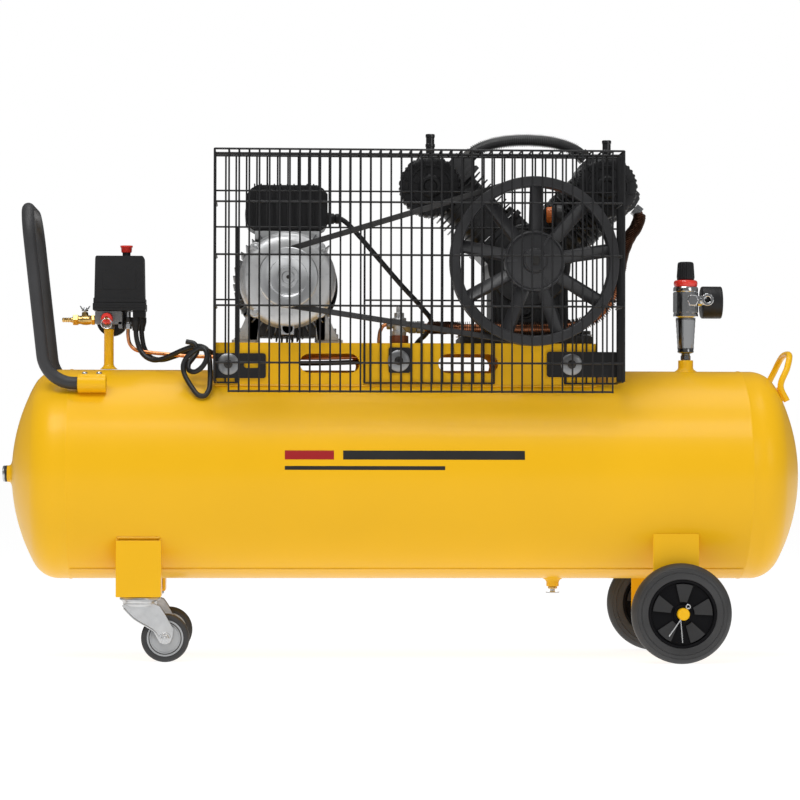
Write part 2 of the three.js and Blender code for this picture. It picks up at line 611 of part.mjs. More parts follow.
function head(side) {
  const half = HEAD.half;
  const fins = [0, 1, 2, 3, 4].map((i) => {
    const y = -half + 4 + i * 23;
    return box(-half, half, y, y + 9, BARREL.top, HEAD.top);
  });
  return tilted(join(box(-half + 4, half - 4, -half, half, BARREL.top, HEAD.top - 14), ...fins), side);
}
addPart("head_left", head(-1), BLACK_METAL);
addPart("head_right", head(1), BLACK_METAL);

function airFilter(x, snorkelTop) {
  const { y0, y1, radius, z, snorkel } = FILTER;
  return join(
    turned("y", [
      [0, y0], [16, y0], [20, y0 + 4], [radius - 4, y0 + 4],
      [radius, y0 + 8], [radius, y1 - 2], [radius - 4, y1], [0, y1],
    ], x, z, 24),
    bar("z", z + radius - 6, snorkelTop, x, (y0 + y1) / 2, snorkel, 14),
    bar("y", y1 - 1, -HEAD.half - GAP, x, z, 12),
  );
}
addPart("filter_left", airFilter(FILTER.left, 830), BLACK_PLASTIC);
addPart("filter_right", airFilter(FILTER.right, 822), BLACK_PLASTIC);

function flywheel() {
  const { y, half, groove, drop, flywheel: radius } = DRIVE;
  const floor = radius - drop - 1.4;
  const bore = PUMP.shaft + GAP;
  const rim = turned("y", [
    [radius - 16, y - 16], [radius, y - 16], [radius, y - groove], [floor, y - groove], [floor, y + groove],
    [radius, y + groove], [radius, y + 16], [radius - 16, y + 16], [radius - 16, y - 16],
  ], PUMP.x, PUMP.z, 32);
  const hub = turned("y", [
    [bore, y - half], [19, y - half], [19, y - 14], [47, y - 10], [47, y + 10], [24, y + 14],
    [24, y + half], [bore, y + half], [bore, y - half],
  ], PUMP.x, PUMP.z, 16);
  const blades = Array.from({ length: 9 }, (_, i) => (
    box(-9, 9, -4, 4, 44, radius - 14)
      .rotate([0, 0, 35])
      .translate([0, y, 0])
      .rotate([0, 1.5 + 40 * i, 0])
      .translate([PUMP.x, 0, PUMP.z])
  ));
  return join(rim, hub, ...blades);
}
addPart("flywheel", flywheel(), BLACK_METAL);

const crank = join(
  bar("y", -163, -19, PUMP.x, PUMP.z, PUMP.shaft),
  bar("y", -169, -162, PUMP.x, PUMP.z, 6.5, 6),
  bar("y", -28, -20, PUMP.x, PUMP.z, 30, 24),
  bar("y", -21, 21, PUMP.x, PUMP.z + 16, 9),
  bar("y", 20, 28, PUMP.x, PUMP.z, 30, 24),
);
addPart("crankshaft", crank, ZINC);

function piston(side) {
  const y = side * BARREL.offset;
  return tilted(join(
    bar("z", 108, 145, 0, y, BARREL.bore - 2 * GAP),
    box(-8, 8, y - 6, y + 6, 72, 110),
  ), side);
}
addPart("piston_left", piston(-1), ALUMINIUM);
addPart("piston_right", piston(1), ALUMINIUM);

const oilPlug = join(
  bar("x", OIL.x - 12, OIL.x - GAP, OIL.y, OIL.z, 13, 12),
  bar("x", OIL.x - 1, OIL.x + 8, OIL.y, OIL.z, 7, 12),
);
addPart("oil_plug", oilPlug, ORANGE);

// A place on the outer (way +1, below) or inner (way -1, above) side face of a head, s along its cylinder.
const headSide = (s, side, way) => {
  const face = HEAD.half + 2 * GAP;
  const along = PUMP.x + side * (s + way * face) * Math.SQRT1_2;
  return [along, PUMP.z + (s - way * face) * Math.SQRT1_2];
};
const [crossX, crossZ] = headSide(190, 1, -1);
const crossHalf = [[crossX, 0, crossZ], [crossX - 12, 0, crossZ + 12], [PUMP.x + 50, 0, 824]];
const crossPath = smooth([
  ...crossHalf.map(([x, y, z]) => [2 * PUMP.x - x, y, z]),
  [PUMP.x, 0, 829],
  ...crossHalf.reverse(),
]);
addPart("crossover_tube", sweep(crossPath, FIN_TUBE - 0.5, 20, 8), BLACK_METAL);

const [outX, outZ] = headSide(186, 1, 1);
const dischargePath = smooth([
  [outX, -24, outZ], [outX + 8, -25, outZ - 8], [375, -34, 692], [359, -50, 668], [348, -62, 643],
  [341, -71, 612], [330, -76, 575], [304, -76, 542], [262, -76, 527], [210, -76, 524], [130, -76, 524],
  [80, -70, 524], [52, -50, 525], [36, CHECK.y, 526], [21.8, CHECK.y, 526],
]);
addPart("discharge_tube", sweep(dischargePath, FIN_TUBE, 28, 8), COPPER);

const checkBody = join(
  bar("z", DECK.top + GAP + 1.2, 513, CHECK.x, CHECK.y, 15, 6),
  bar("z", 512, 541, CHECK.x, CHECK.y, 11.5),
  bar("z", 540, 558, CHECK.x, CHECK.y, 6, 6),
  bar("x", CHECK.x, 21, CHECK.y, 526, 11, 6),
  bar("x", CHECK.x - 20, CHECK.x, CHECK.y, 530, 8, 8),
);
const checkTubeBore = bar("x", CHECK.x - 21, CHECK.x - 12, CHECK.y, 530, UNLOADER + 4 * GAP, 10);
addPart("check_valve", cut(checkBody, checkTubeBore), BRASS);

// ---------- belt ----------
function beltLoop(inset) {
  const [r1, r2] = [DRIVE.pulley - inset, DRIVE.flywheel - inset];
  const [dx, dz] = [PUMP.x - MOTOR.x, PUMP.z - MOTOR.z];
  const along = Math.atan2(dz, dx);
  const open = Math.acos((r1 - r2) / Math.hypot(dx, dz));
  const points = [];
  for (let i = 0; i <= 16; i += 1) {
    const angle = along + open + ((2 * Math.PI - 2 * open) * i) / 16;
    points.push([MOTOR.x + r1 * Math.cos(angle), MOTOR.z + r1 * Math.sin(angle)]);
  }
  for (let i = 0; i <= 28; i += 1) {
    const angle = along - open + (2 * open * i) / 28;
    points.push([PUMP.x + r2 * Math.cos(angle), PUMP.z + r2 * Math.sin(angle)]);
  }
  return points;
}
const beltShape = outline(beltLoop(0.3));
beltShape.holes.push(outline(beltLoop(DRIVE.drop)));
addPart("drive_belt", plateXZ(beltShape, DRIVE.y - DRIVE.belt, DRIVE.y + DRIVE.belt), RUBBER);

// ---------- guard ----------
// A welded wire panel in X and Z: upright wires at every x, cross wires at every z.
function wirePanel(xs, zs, y) {
  const w = GUARD.wire;
  const windows = [];
  for (let i = 0; i < xs.length - 1; i += 1) {
    for (let j = 0; j < zs.length - 1; j += 1) {
      windows.push(box(xs[i] + w, xs[i + 1] - w, y - 2 * w, y + 2 * w, zs[j] + w, zs[j + 1] - w));
    }
  }
  return cut(box(xs[0] - w, xs.at(-1) + w, y - w, y + w, zs[0] - w, zs.at(-1) + w), ...windows);
}
function evenly(from, to, count) {
  return Array.from({ length: count + 1 }, (_, i) => from + ((to - from) * i) / count);
}

const guardEnds = [GUARD.left + GUARD.wire, GUARD.right - GUARD.wire];

function guardFront() {
  const columns = evenly(...guardEnds, 7);
  const panel = wirePanel(columns, [...GUARD_ROWS, GUARD.top - GUARD.wire], GUARD.front);
  return join(panel, wirePanel(columns.slice(1, -1), [GUARD_FOOT.hem, GUARD_FOOT.corner], GUARD.front));
}
addPart("guard_front", guardFront(), BLACK_METAL);

const guardDepth = [GUARD.front + GUARD.wire + GAP, GUARD.rear - 2 * GUARD.wire - GAP];

function guardTop() {
  const w = GUARD.wire;
  const [front, back] = guardDepth;
  const [z0, z1] = [GUARD.top - 2 * w, GUARD.top];
  const bars = evenly(...guardEnds, 6).map((x) => box(x - w, x + w, front, back, z0, z1));
  return join(box(GUARD.left, GUARD.right, back - 2 * w, back, z0, z1), ...bars);
}
addPart("guard_top", guardTop(), BLACK_METAL);

function guardSide(x) {
  const w = GUARD.wire;
  const [front, back] = guardDepth;
  const top = GUARD.top - 2 * w - GAP;
  const rows = GUARD_ROWS.map((z) => box(x - w, x + w, front, back, z - w, z + w));
  const uprights = [-140, back - w].map((y) => box(x - w, x + w, y - w, y + w, GUARD_FOOT.corner - w, top));
  return join(...uprights, ...rows);
}
addPart("guard_left", guardSide(guardEnds[0]), BLACK_METAL);
addPart("guard_right", guardSide(guardEnds[1]), BLACK_METAL);

function guardRear() {
  const w = GUARD.wire;
  const deckFace = -DECK.half - GAP;
  const uprights = [guardEnds[0], -262, -196, -130, -64, -9, 66, 142, 197, 252, guardEnds[1]];
  const panel = wirePanel(uprights, [GUARD_FOOT.corner - 1, 566, 680, 737, GUARD.top - w], GUARD.rear);
  const motorGap = box(-262 + w, -64 - w, GUARD.rear - 5, GUARD.rear + 5, 420, 680 - w);
  const pumpGap = box(142 + w, 252 - w, GUARD.rear - 5, GUARD.rear + 5, 420, 680 - w);
  const screws = GUARD_SCREWS.flatMap(([x, z]) => [
    bar("y", -99, deckFace, x, z, 17),
    bar("y", -103, -98, x, z, 7, 12),
  ]);
  const plates = [
    box(GUARD.left, -217.5, GUARD.rear - w, deckFace, 443, 482),
    box(224.5, GUARD.right, GUARD.rear - w, deckFace, 446, 486),
  ];
  const slot = box(-252, -228, -97, -91, 459, 468);
  return cut(join(cut(panel, motorGap, pumpGap), ...plates, ...screws), slot);
}
addPart("guard_rear", guardRear(), BLACK_METAL);

// ---------- tube and cables ----------
const unloaderPath = smooth([
  [-437, 0, 528], [-437, 0, 512], [-434, 0, 499], [-425, -2, 490], [-405, -4, 486], [-375, -6, 483],
  [-345, -8, 480], [-305, -10, 479], [-250, -14, 478], [-180, -22, 477], [-110, -34, 477],
  [-70, -39, 479], [-48, -40, 484], [-39, -40, 495], [-38, -40, 508], [-36, -40, 520],
  [-31, -40, 528.5], [-25.5, -40, 530], [-19, -40, 530],
]);
addPart("unloader_tube", sweep(unloaderPath, UNLOADER, 36, 8), COPPER);

const motorCablePath = smooth([
  [-111, 0, 701], [-99, 0, 701], [-86, 0, 692], [-42, 2, 643], [-2, 4, 597], [34, 8, 558],
  [48, 10, 538], [40, 10, 518], [27, 10, 505], [19, 10, 493], [6, 13, 481], [-18, 18, 475],
  [-80, 26, 472], [-160, 26, 470], [-250, 20, 472], [-300, 12, 485], [-318, 6, 492], [-338, 2, 489],
  [-362, 0, 480], [-384, 0, 474], [-401, 2, 478], [-411, 4, 492], [-415, 4, 510], [-416, 4, 524],
  [-416, 4, 540],
]);
addPart("motor_cable", sweep(motorCablePath, CABLE, 44, 8), RUBBER);

const powerCordPath = smooth([
  [-424.5, -8, 540], [-424.5, -8, 522], [-423, -9, 507], [-418, -12, 491], [-409, -17, 479],
  [-396, -23, 473], [-380, -31, 475], [-363, -41, 482], [-349, -49, 488], [-334, -54, 493],
  [-321, -59, 494], [-311, -68, 489], [-307, -78, 478], [-305, -88, 465], [-304.5, -99, 451],
  [-304.5, -109, 437.5], [-306, -116.5, 424.5], [-312.5, -120.5, 415], [-322, -120.5, 415.5],
  [-331, -115, 425.5], [-339, -108, 438], [-345, -103, 450], [-346.5, -100, 463], [-341, -98, 475],
  [-331, -99, 484], [-321, -102, 489.5], [-312.5, -106.5, 487], [-309.5, -110, 475], [-316, -112, 461],
  [-327.5, -108, 452.5], [-337.5, -98, 455], [-338.5, -86, 465], [-332, -77, 474.5],
  [-325.5, -72, 486], [-330, -68, 497.5], [-343, -65, 501],
]);
addPart("power_cord", sweep(powerCordPath, CABLE, 54, 8), RUBBER);

export default group;
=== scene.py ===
"""Belt-driven V-twin air compressor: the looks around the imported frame. Sizes in millimetres."""
from math import acos, asin, atan2, copysign, cos, hypot, pi, radians, sin, sqrt, tan

import bmesh
import bpy
from mathutils import Matrix, Vector


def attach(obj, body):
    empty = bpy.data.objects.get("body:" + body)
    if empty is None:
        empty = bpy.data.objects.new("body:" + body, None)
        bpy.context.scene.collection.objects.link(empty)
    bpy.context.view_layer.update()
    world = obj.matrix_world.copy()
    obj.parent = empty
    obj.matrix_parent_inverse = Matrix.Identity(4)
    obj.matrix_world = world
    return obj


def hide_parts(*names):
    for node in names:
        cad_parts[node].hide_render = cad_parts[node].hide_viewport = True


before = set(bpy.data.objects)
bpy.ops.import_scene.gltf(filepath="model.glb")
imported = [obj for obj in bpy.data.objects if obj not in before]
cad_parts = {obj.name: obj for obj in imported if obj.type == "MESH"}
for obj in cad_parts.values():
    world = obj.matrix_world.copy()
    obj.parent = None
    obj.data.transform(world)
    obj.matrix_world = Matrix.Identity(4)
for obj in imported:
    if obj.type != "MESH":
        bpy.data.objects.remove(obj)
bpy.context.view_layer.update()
scene = bpy.context.scene
MM = 0.001

# ---------------------------------------------------------------- camera
EYE = Vector((-0.2265, -4.8, 0.331))
AIM = Vector((-0.0025, 0.0, 0.411))
ROLL = radians(0.12)
camera_data = bpy.data.cameras.new("camera")
camera_data.lens = 135
camera_data.sensor_width = 36
camera_data.clip_end = 50
camera = bpy.data.objects.new("camera", camera_data)
scene.collection.objects.link(camera)
look = (AIM - EYE).to_track_quat("-Z", "Y").to_matrix().to_4x4()
camera.matrix_world = Matrix.Translation(EYE) @ look @ Matrix.Rotation(ROLL, 4, "Z")
scene.camera = camera


# ---------------------------------------------------------------- materials
def surface(name, color, rough, metal=0.0, grain=900, bump=0.1, depth=0.0004, tint=0.08, spread=0.08,
            coat=0.0, blotch=14, rings=None, dirt=0.0, edge=0.0, gloss=0.5):
    """A procedural finish: fine grain bump, slow colour and roughness drift, optional turned rings."""
    mat = bpy.data.materials.new(name)
    mat.use_nodes = True
    nodes, links = mat.node_tree.nodes, mat.node_tree.links
    shader = nodes["Principled BSDF"]
    shader.inputs["Metallic"].default_value = metal
    shader.inputs["Coat Weight"].default_value = coat
    shader.inputs["Specular IOR Level"].default_value = gloss
    shader.inputs["Coat Roughness"].default_value = 0.12
    where = nodes.new("ShaderNodeTexCoord")

    def noise(scale, detail):
        node = nodes.new("ShaderNodeTexNoise")
        node.inputs["Scale"].default_value = scale
        node.inputs["Detail"].default_value = detail
        links.new(where.outputs["Object"], node.inputs["Vector"])
        return node.outputs["Fac"]

    slow, fine = noise(blotch, 4), noise(grain, 3)
    ramp = nodes.new("ShaderNodeValToRGB")
    dark = [c * (1 - tint) for c in color]
    light = [min(1.0, c * (1 + tint)) for c in color]
    ramp.color_ramp.elements[0].position = 0.3
    ramp.color_ramp.elements[1].position = 0.7
    ramp.color_ramp.elements[0].color = (*dark, 1)
    ramp.color_ramp.elements[1].color = (*light, 1)
    links.new(slow, ramp.inputs["Fac"])
    tone = ramp.outputs["Color"]
    if dirt:
        speck = nodes.new("ShaderNodeValToRGB")
        speck.color_ramp.elements[0].position = 0.56
        speck.color_ramp.elements[1].position = 0.74
        links.new(noise(90, 6), speck.inputs["Fac"])
        mix = nodes.new("ShaderNodeMix")
        mix.data_type = "RGBA"
        scaled = nodes.new("ShaderNodeMath")
        scaled.operation = "MULTIPLY"
        scaled.inputs[1].default_value = dirt
        links.new(speck.outputs["Color"], scaled.inputs[0])
        links.new(scaled.outputs[0], mix.inputs["Factor"])
        links.new(tone, mix.inputs["A"])
        mix.inputs["B"].default_value = (*[c * 0.35 + 0.01 for c in color], 1)
        tone = mix.outputs["Result"]
    # Lighter colour on sharp edges, taken from the mesh's pointiness.
    if edge:
        geometry = nodes.new("ShaderNodeNewGeometry")
        edge_ramp = nodes.new("ShaderNodeValToRGB")
        edge_ramp.color_ramp.elements[0].position = 0.53
        edge_ramp.color_ramp.elements[1].position = 0.62
        links.new(geometry.outputs["Pointiness"], edge_ramp.inputs["Fac"])
        mix = nodes.new("ShaderNodeMix")
        mix.data_type = "RGBA"
        scaled = nodes.new("ShaderNodeMath")
        scaled.operation = "MULTIPLY"
        scaled.inputs[1].default_value = edge
        links.new(edge_ramp.outputs["Color"], scaled.inputs[0])
        links.new(scaled.outputs[0], mix.inputs["Factor"])
        links.new(tone, mix.inputs["A"])
        mix.inputs["B"].default_value = (*[min(1.0, c * 1.8 + 0.05) for c in color], 1)
        tone = mix.outputs["Result"]
    links.new(tone, shader.inputs["Base Color"])
    span = nodes.new("ShaderNodeMapRange")
    span.inputs["To Min"].default_value = max(0.02, rough - spread)
    span.inputs["To Max"].default_value = min(1.0, rough + spread)
    links.new(slow, span.inputs["Value"])
    links.new(span.outputs["Result"], shader.inputs["Roughness"])
    relief = nodes.new("ShaderNodeBump")
    relief.inputs["Strength"].default_value = bump
    relief.inputs["Distance"].default_value = depth
    height = fine
    if rings:
        axis, x, y, z, pitch = rings
        offset = nodes.new("ShaderNodeMapping")
        offset.inputs["Location"].default_value = (-x * MM, -y * MM, -z * MM)
        links.new(where.outputs["Object"], offset.inputs["Vector"])
        wave = nodes.new("ShaderNodeTexWave")
        wave.wave_type = "RINGS"
        wave.rings_direction = axis
        wave.inputs["Scale"].default_value = 1 / (pitch * MM * 3.14)
        links.new(offset.outputs["Vector"], wave.inputs["Vector"])
        blend = nodes.new("ShaderNodeMath")
        blend.operation = "ADD"
        links.new(wave.outputs["Fac"], blend.inputs[0])
        links.new(fine, blend.inputs[1])
        height = blend.outputs[0]
    links.new(height, relief.inputs["Height"])
    links.new(relief.outputs["Normal"], shader.inputs["Normal"])
    return mat


YELLOW = surface("yellow_powder_coat", (0.86, 0.47, 0.006), 0.36, grain=520, bump=0.10, depth=0.0003,
                 tint=0.025, coat=0.06, blotch=5, spread=0.05, gloss=0.22)
WELD = surface("painted_weld", (0.80, 0.43, 0.008), 0.42, grain=260, bump=0.5, depth=0.0012, tint=0.10,
               coat=0.05)
WIRE = surface("black_wire_coat", (0.012, 0.012, 0.013), 0.42, grain=700, bump=0.2, tint=0.2, gloss=0.35)
CAST = surface("black_cast_paint", (0.022, 0.022, 0.023), 0.42, grain=330, bump=0.45, depth=0.0008, tint=0.3,
               edge=0.35)
IRON = surface("black_flywheel_paint", (0.026, 0.026, 0.028), 0.36, grain=420, bump=0.3, depth=0.0006,
               tint=0.25, edge=0.3)
PLASTIC = surface("black_plastic", (0.011, 0.011, 0.012), 0.46, grain=1500, bump=0.25, tint=0.15, gloss=0.3)
GLOSSY = surface("black_gloss_plastic", (0.012, 0.012, 0.013), 0.16, grain=900, bump=0.05, tint=0.1, coat=0.4)
SLEEVE = surface("handle_sleeve", (0.030, 0.030, 0.032), 0.55, grain=1100, bump=0.35, tint=0.2)
TYRE = surface("tyre_rubber", (0.034, 0.034, 0.035), 0.56, grain=800, bump=0.3, tint=0.25, dirt=0.2)
JACKET = surface("cable_jacket", (0.012, 0.012, 0.013), 0.40, grain=1200, bump=0.2, tint=0.2, gloss=0.4)
BELT = surface("belt_rubber", (0.026, 0.025, 0.025), 0.6, grain=1300, bump=0.5, tint=0.3)
ALLOY = surface("cast_aluminium", (0.67, 0.675, 0.68), 0.44, 0.8, grain=600, bump=0.35, depth=0.0005,
                tint=0.10, dirt=0.3)
TURNED = surface("turned_aluminium", (0.68, 0.69, 0.70), 0.30, 0.95, grain=900, bump=0.12, tint=0.06,
                 rings=("Y", -183.5, 0, 598, 2.2))
GREY = surface("grey_manifold", (0.22, 0.225, 0.23), 0.42, 0.7, grain=700, bump=0.35, tint=0.12)
WASHER = surface("dull_washer", (0.30, 0.305, 0.31), 0.38, 0.9, grain=600, bump=0.2, tint=0.15, dirt=0.2,
                 blotch=60)
NICKEL = surface("dark_nickel", (0.30, 0.305, 0.31), 0.16, 1.0, grain=300, bump=0.05, tint=0.06, spread=0.04)
ZINC = surface("zinc_plate", (0.66, 0.67, 0.68), 0.30, 0.95, grain=600, bump=0.15, tint=0.12, dirt=0.15,
               blotch=40)
CHROME = surface("chrome_plate", (0.75, 0.76, 0.77), 0.09, 1.0, grain=300, bump=0.03, tint=0.04, spread=0.04)
BRASS = surface("brass", (0.72, 0.48, 0.17), 0.26, 1.0, grain=700, bump=0.12, tint=0.12, dirt=0.2, blotch=60)
COPPER = surface("copper", (0.72, 0.30, 0.13), 0.30, 1.0, grain=600, bump=0.12, tint=0.2, dirt=0.3, blotch=50)
RUST = surface("browned_nut", (0.26, 0.10, 0.06), 0.45, 0.7, grain=600, bump=0.3, tint=0.3, blotch=60)
TUBE = surface("browned_copper", (0.44, 0.17, 0.085), 0.34, 1.0, grain=600, bump=0.15, tint=0.35, dirt=0.3,
               blotch=40)
SOOTY = surface("darkened_copper_fin", (0.10, 0.048, 0.028), 0.45, 0.8, grain=600, bump=0.3, tint=0.5,
                blotch=60)
RED = surface("red_plastic", (0.72, 0.035, 0.022), 0.30, grain=900, bump=0.08, tint=0.08, coat=0.3)
ORANGE = surface("orange_plastic", (0.75, 0.17, 0.02), 0.38, grain=900, bump=0.15, tint=0.1)
DIAL = surface("dial_face", (0.80, 0.80, 0.78), 0.5, grain=900, bump=0.02, tint=0.02)
STUD = surface("dark_stud", (0.05, 0.048, 0.045), 0.45, 0.7, grain=800, bump=0.3, tint=0.3)
DECAL = surface("dark_stripe_film", (0.020, 0.019, 0.018), 0.30, grain=900, bump=0.05, tint=0.05)
DECAL_RED = surface("red_stripe_film", (0.36, 0.012, 0.015), 0.30, grain=900, bump=0.05, tint=0.05)
# Painted shade: the hub body is painted darker than the raised sectors to stand for the shade in the sunk
# ones.
HUB_PAINTED_SHADE = surface("hub_painted_shade", (0.004, 0.004, 0.005), 0.5, grain=900, bump=0.2, tint=0.15, gloss=0.1)
HUB = surface("hub_plastic", (0.030, 0.030, 0.031), 0.5, grain=900, bump=0.3, tint=0.15, gloss=0.25)
PALE = surface("pale_grey_plastic", (0.40, 0.41, 0.42), 0.45, grain=900, bump=0.15, tint=0.06)


def glass_material():
    mat = bpy.data.materials.new("gauge_glass")
    mat.use_nodes = True
    nodes, links = mat.node_tree.nodes, mat.node_tree.links
    shader = nodes["Principled BSDF"]
    shader.inputs["Transmission Weight"].default_value = 1.0
    shader.inputs["IOR"].default_value = 1.45
    where = nodes.new("ShaderNodeTexCoord")
    smear = nodes.new("ShaderNodeTexNoise")
    smear.inputs["Scale"].default_value = 60
    links.new(where.outputs["Object"], smear.inputs["Vector"])
    span = nodes.new("ShaderNodeMapRange")
    span.inputs["To Min"].default_value = 0.02
    span.inputs["To Max"].default_value = 0.10
    links.new(smear.outputs["Fac"], span.inputs["Value"])
    links.new(span.outputs["Result"], shader.inputs["Roughness"])
    return mat


GLASS = glass_material()


# ---------------------------------------------------------------- mesh making
class Shape:
    """Faces gathered in millimetres, then made into one object that rides on a body."""

    def __init__(self):
        self.mesh = bmesh.new()
        self.materials = []

    def add(self, verts, faces, mat):
        if mat not in self.materials:
            self.materials.append(mat)
        slot = self.materials.index(mat)
        made = [self.mesh.verts.new([c * MM for c in v]) for v in verts]
        for face in faces:
            polygon = self.mesh.faces.new([made[i] for i in face])
            polygon.material_index = slot
            polygon.smooth = True
        return self

    def lathe(self, axis, profile, u, v, mat, segments=64, ripple=None):
        """Turns [radius, position] pairs about the axis; ripple may change a radius by angle and place."""
        verts, rings, faces = [], [], []
        for r, h in profile:
            ring = []
            count = 1 if r < 1e-6 else segments
            for i in range(count):
                angle = 2 * pi * i / segments
                radius = ripple(angle, r, h) if ripple else r
                a, b = radius * cos(angle), radius * sin(angle)
                ring.append(len(verts))
                if axis == "x":
                    verts.append((h, u + a, v + b))
                elif axis == "y":
                    verts.append((u + a, h, v + b))
                else:
                    verts.append((u + a, v + b, h))
            rings.append(ring)
        for low, high in zip(rings, rings[1:]):
            for i in range(segments):
                j = (i + 1) % segments
                if len(low) == 1 and len(high) == 1:
                    continue
                if len(low) == 1:
                    faces.append((low[0], high[i], high[j]))
                elif len(high) == 1:
                    faces.append((low[i], high[0], low[j]))
                else:
                    faces.append((low[i], high[i], high[j], low[j]))
        return self.add(verts, faces, mat)

    def rod(self, axis, start, end, u, v, radius, mat, segments=24, chamfer=0.5):
        c = min(chamfer, radius * 0.4, abs(end - start) * 0.3)
        way = 1 if end > start else -1
        profile = [(0, start), (radius - c, start), (radius, start + way * c), (radius, end - way * c),
                   (radius - c, end), (0, end)]
        return self.lathe(axis, profile, u, v, mat, segments)

    def hexagon(self, axis, start, end, u, v, radius, mat):
        return self.rod(axis, start, end, u, v, radius, mat, segments=6, chamfer=0.8)

    def tube(self, points, radius, mat, sides=16, closed=False, radii=None):
        """Round sweep along points, turned as little as possible."""
        path = [Vector(p) for p in points]
        count = len(path)
        tangents = []
        for i in range(count):
            before = path[i - 1] if i or closed else path[i]
            after = path[(i + 1) % count] if i < count - 1 or closed else path[i]
            tangents.append((after - before).normalized())
        normal = tangents[0].orthogonal().normalized()
        verts, faces = [], []
        for i, (p, t) in enumerate(zip(path, tangents)):
            normal = (normal - t * normal.dot(t)).normalized()
            side = t.cross(normal)
            r = radii[i] if radii else radius
            for k in range(sides):
                angle = 2 * pi * k / sides
                verts.append(tuple(p + normal * (r * cos(angle)) + side * (r * sin(angle))))
        for i in range(count if closed else count - 1):
            a, b = i * sides, ((i + 1) % count) * sides
            for k in range(sides):
                m = (k + 1) % sides
                faces.append((a + k, b + k, b + m, a + m))
        if not closed:
            faces.append(tuple(range(sides))[::-1])
            faces.append(tuple((count - 1) * sides + k for k in range(sides)))
        return self.add(verts, faces, mat)

    def block(self, x0, x1, y0, y1, z0, z1, mat, turn=None):
        corners = [Vector((x, y, z)) for x in (x0, x1) for y in (y0, y1) for z in (z0, z1)]
        if turn:
            corners = [turn @ c for c in corners]
        faces = [(0, 1, 3, 2), (4, 6, 7, 5), (0, 4, 5, 1), (2, 3, 7, 6), (0, 2, 6, 4), (1, 5, 7, 3)]
        return self.add([tuple(c) for c in corners], faces, mat)

    def slab(self, outline, y0, y1, mat, holes=()):
        """A flat plate drawn in X and Z between two Y planes, with closed outlines as holes."""
        flat = bmesh.new()
        edges = []
        for loop in [outline, *holes]:
            made = [flat.verts.new((x, y0, z)) for x, z in loop]
            edges += [flat.edges.new((made[i], made[(i + 1) % len(made)])) for i in range(len(made))]
        bmesh.ops.triangle_fill(flat, use_beauty=True, edges=edges, normal=(0, -1, 0))
        base = flat.faces[:]
        grown = bmesh.ops.extrude_face_region(flat, geom=base)
        lifted = [g for g in grown["geom"] if isinstance(g, bmesh.types.BMVert)]
        bmesh.ops.translate(flat, verts=lifted, vec=(0, y1 - y0, 0))
        bmesh.ops.recalc_face_normals(flat, faces=flat.faces[:])
        flat.verts.index_update()
        verts = [tuple(v.co) for v in flat.verts]
        faces = [tuple(v.index for v in f.verts) for f in flat.faces]
        flat.free()
        return self.add(verts, faces, mat)

    def prism(self, near, far, mat):
        """A closed solid between two outlines with the same number of points."""
        m = len(near)
        faces = [tuple(range(m))[::-1], tuple(range(m, 2 * m))]
        faces += [(i, (i + 1) % m, m + (i + 1) % m, m + i) for i in range(m)]
        return self.add([*near, *far], faces, mat)

    def build(self, name, body, replaces=(), slot=None, bevel=0.0, crease=38, turn=None, segments=2):
        data = bpy.data.meshes.new(name)
        if turn:
            self.mesh.transform(turn)
        bmesh.ops.remove_doubles(self.mesh, verts=self.mesh.verts[:], dist=0.000002)
        bmesh.ops.recalc_face_normals(self.mesh, faces=self.mesh.faces[:])
        limit = radians(crease)
        for edge in self.mesh.edges:
            if len(edge.link_faces) == 2 and edge.calc_face_angle(0) > limit:
                edge.smooth = False
        self.mesh.to_mesh(data)
        self.mesh.free()
        for mat in self.materials:
            data.materials.append(mat)
        piece = bpy.data.objects.new(name, data)
        scene.collection.objects.link(piece)
        if bevel:
            soften = piece.modifiers.new("bevel", "BEVEL")
            soften.width = bevel * MM
            soften.segments = segments
            soften.limit_method = "ANGLE"
            soften.angle_limit = radians(35)
            soften.harden_normals = True
        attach(piece, body)
        if replaces:
            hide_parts(*replaces)
        return piece


def keep_cad(node, mat, bevel=1.0):
    """A CAD node shown as it is, with softened edges and a real finish."""
    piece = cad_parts[node]
    piece.data.materials.clear()
    piece.data.materials.append(mat)
    weld = piece.modifiers.new("weld", "WELD")
    weld.merge_threshold = 0.00002
    soften = piece.modifiers.new("bevel", "BEVEL")
    soften.width = bevel * MM
    soften.segments = 2
    soften.limit_method = "ANGLE"
    soften.angle_limit = radians(35)
    return piece


def spline(points, count):
    """Evenly spaced points on the centripetal curve through the given ones."""
    p = [Vector(q) for q in points]
    ends = [p[0] * 2 - p[1], *p, p[-1] * 2 - p[-2]]
    dense = []
    for a, b, c, d in zip(ends, ends[1:], ends[2:], ends[3:]):
        t1 = (b - a).length ** 0.5
        t2 = t1 + (c - b).length ** 0.5
        t3 = t2 + (d - c).length ** 0.5
        for k in range(24):
            t = t1 + (t2 - t1) * k / 24
            a1 = a * ((t1 - t) / t1) + b * (t / t1)
            a2 = b * ((t2 - t) / (t2 - t1)) + c * ((t - t1) / (t2 - t1))
            a3 = c * ((t3 - t) / (t3 - t2)) + d * ((t - t2) / (t3 - t2))
            b1 = a1 * ((t2 - t) / t2) + a2 * (t / t2)
            b2 = a2 * ((t3 - t) / (t3 - t1)) + a3 * ((t - t1) / (t3 - t1))
            dense.append(b1 * ((t2 - t) / (t2 - t1)) + b2 * ((t - t1) / (t2 - t1)))
    dense.append(p[-1])
    reach = [0.0]
    for a, b in zip(dense, dense[1:]):
        reach.append(reach[-1] + (b - a).length)
    even, at = [], 0
    for k in range(count + 1):
        goal = reach[-1] * k / count
        while at < len(reach) - 2 and reach[at + 1] < goal:
            at += 1
        step = reach[at + 1] - reach[at]
        even.append(dense[at].lerp(dense[at + 1], (goal - reach[at]) / step if step else 0))
    return even


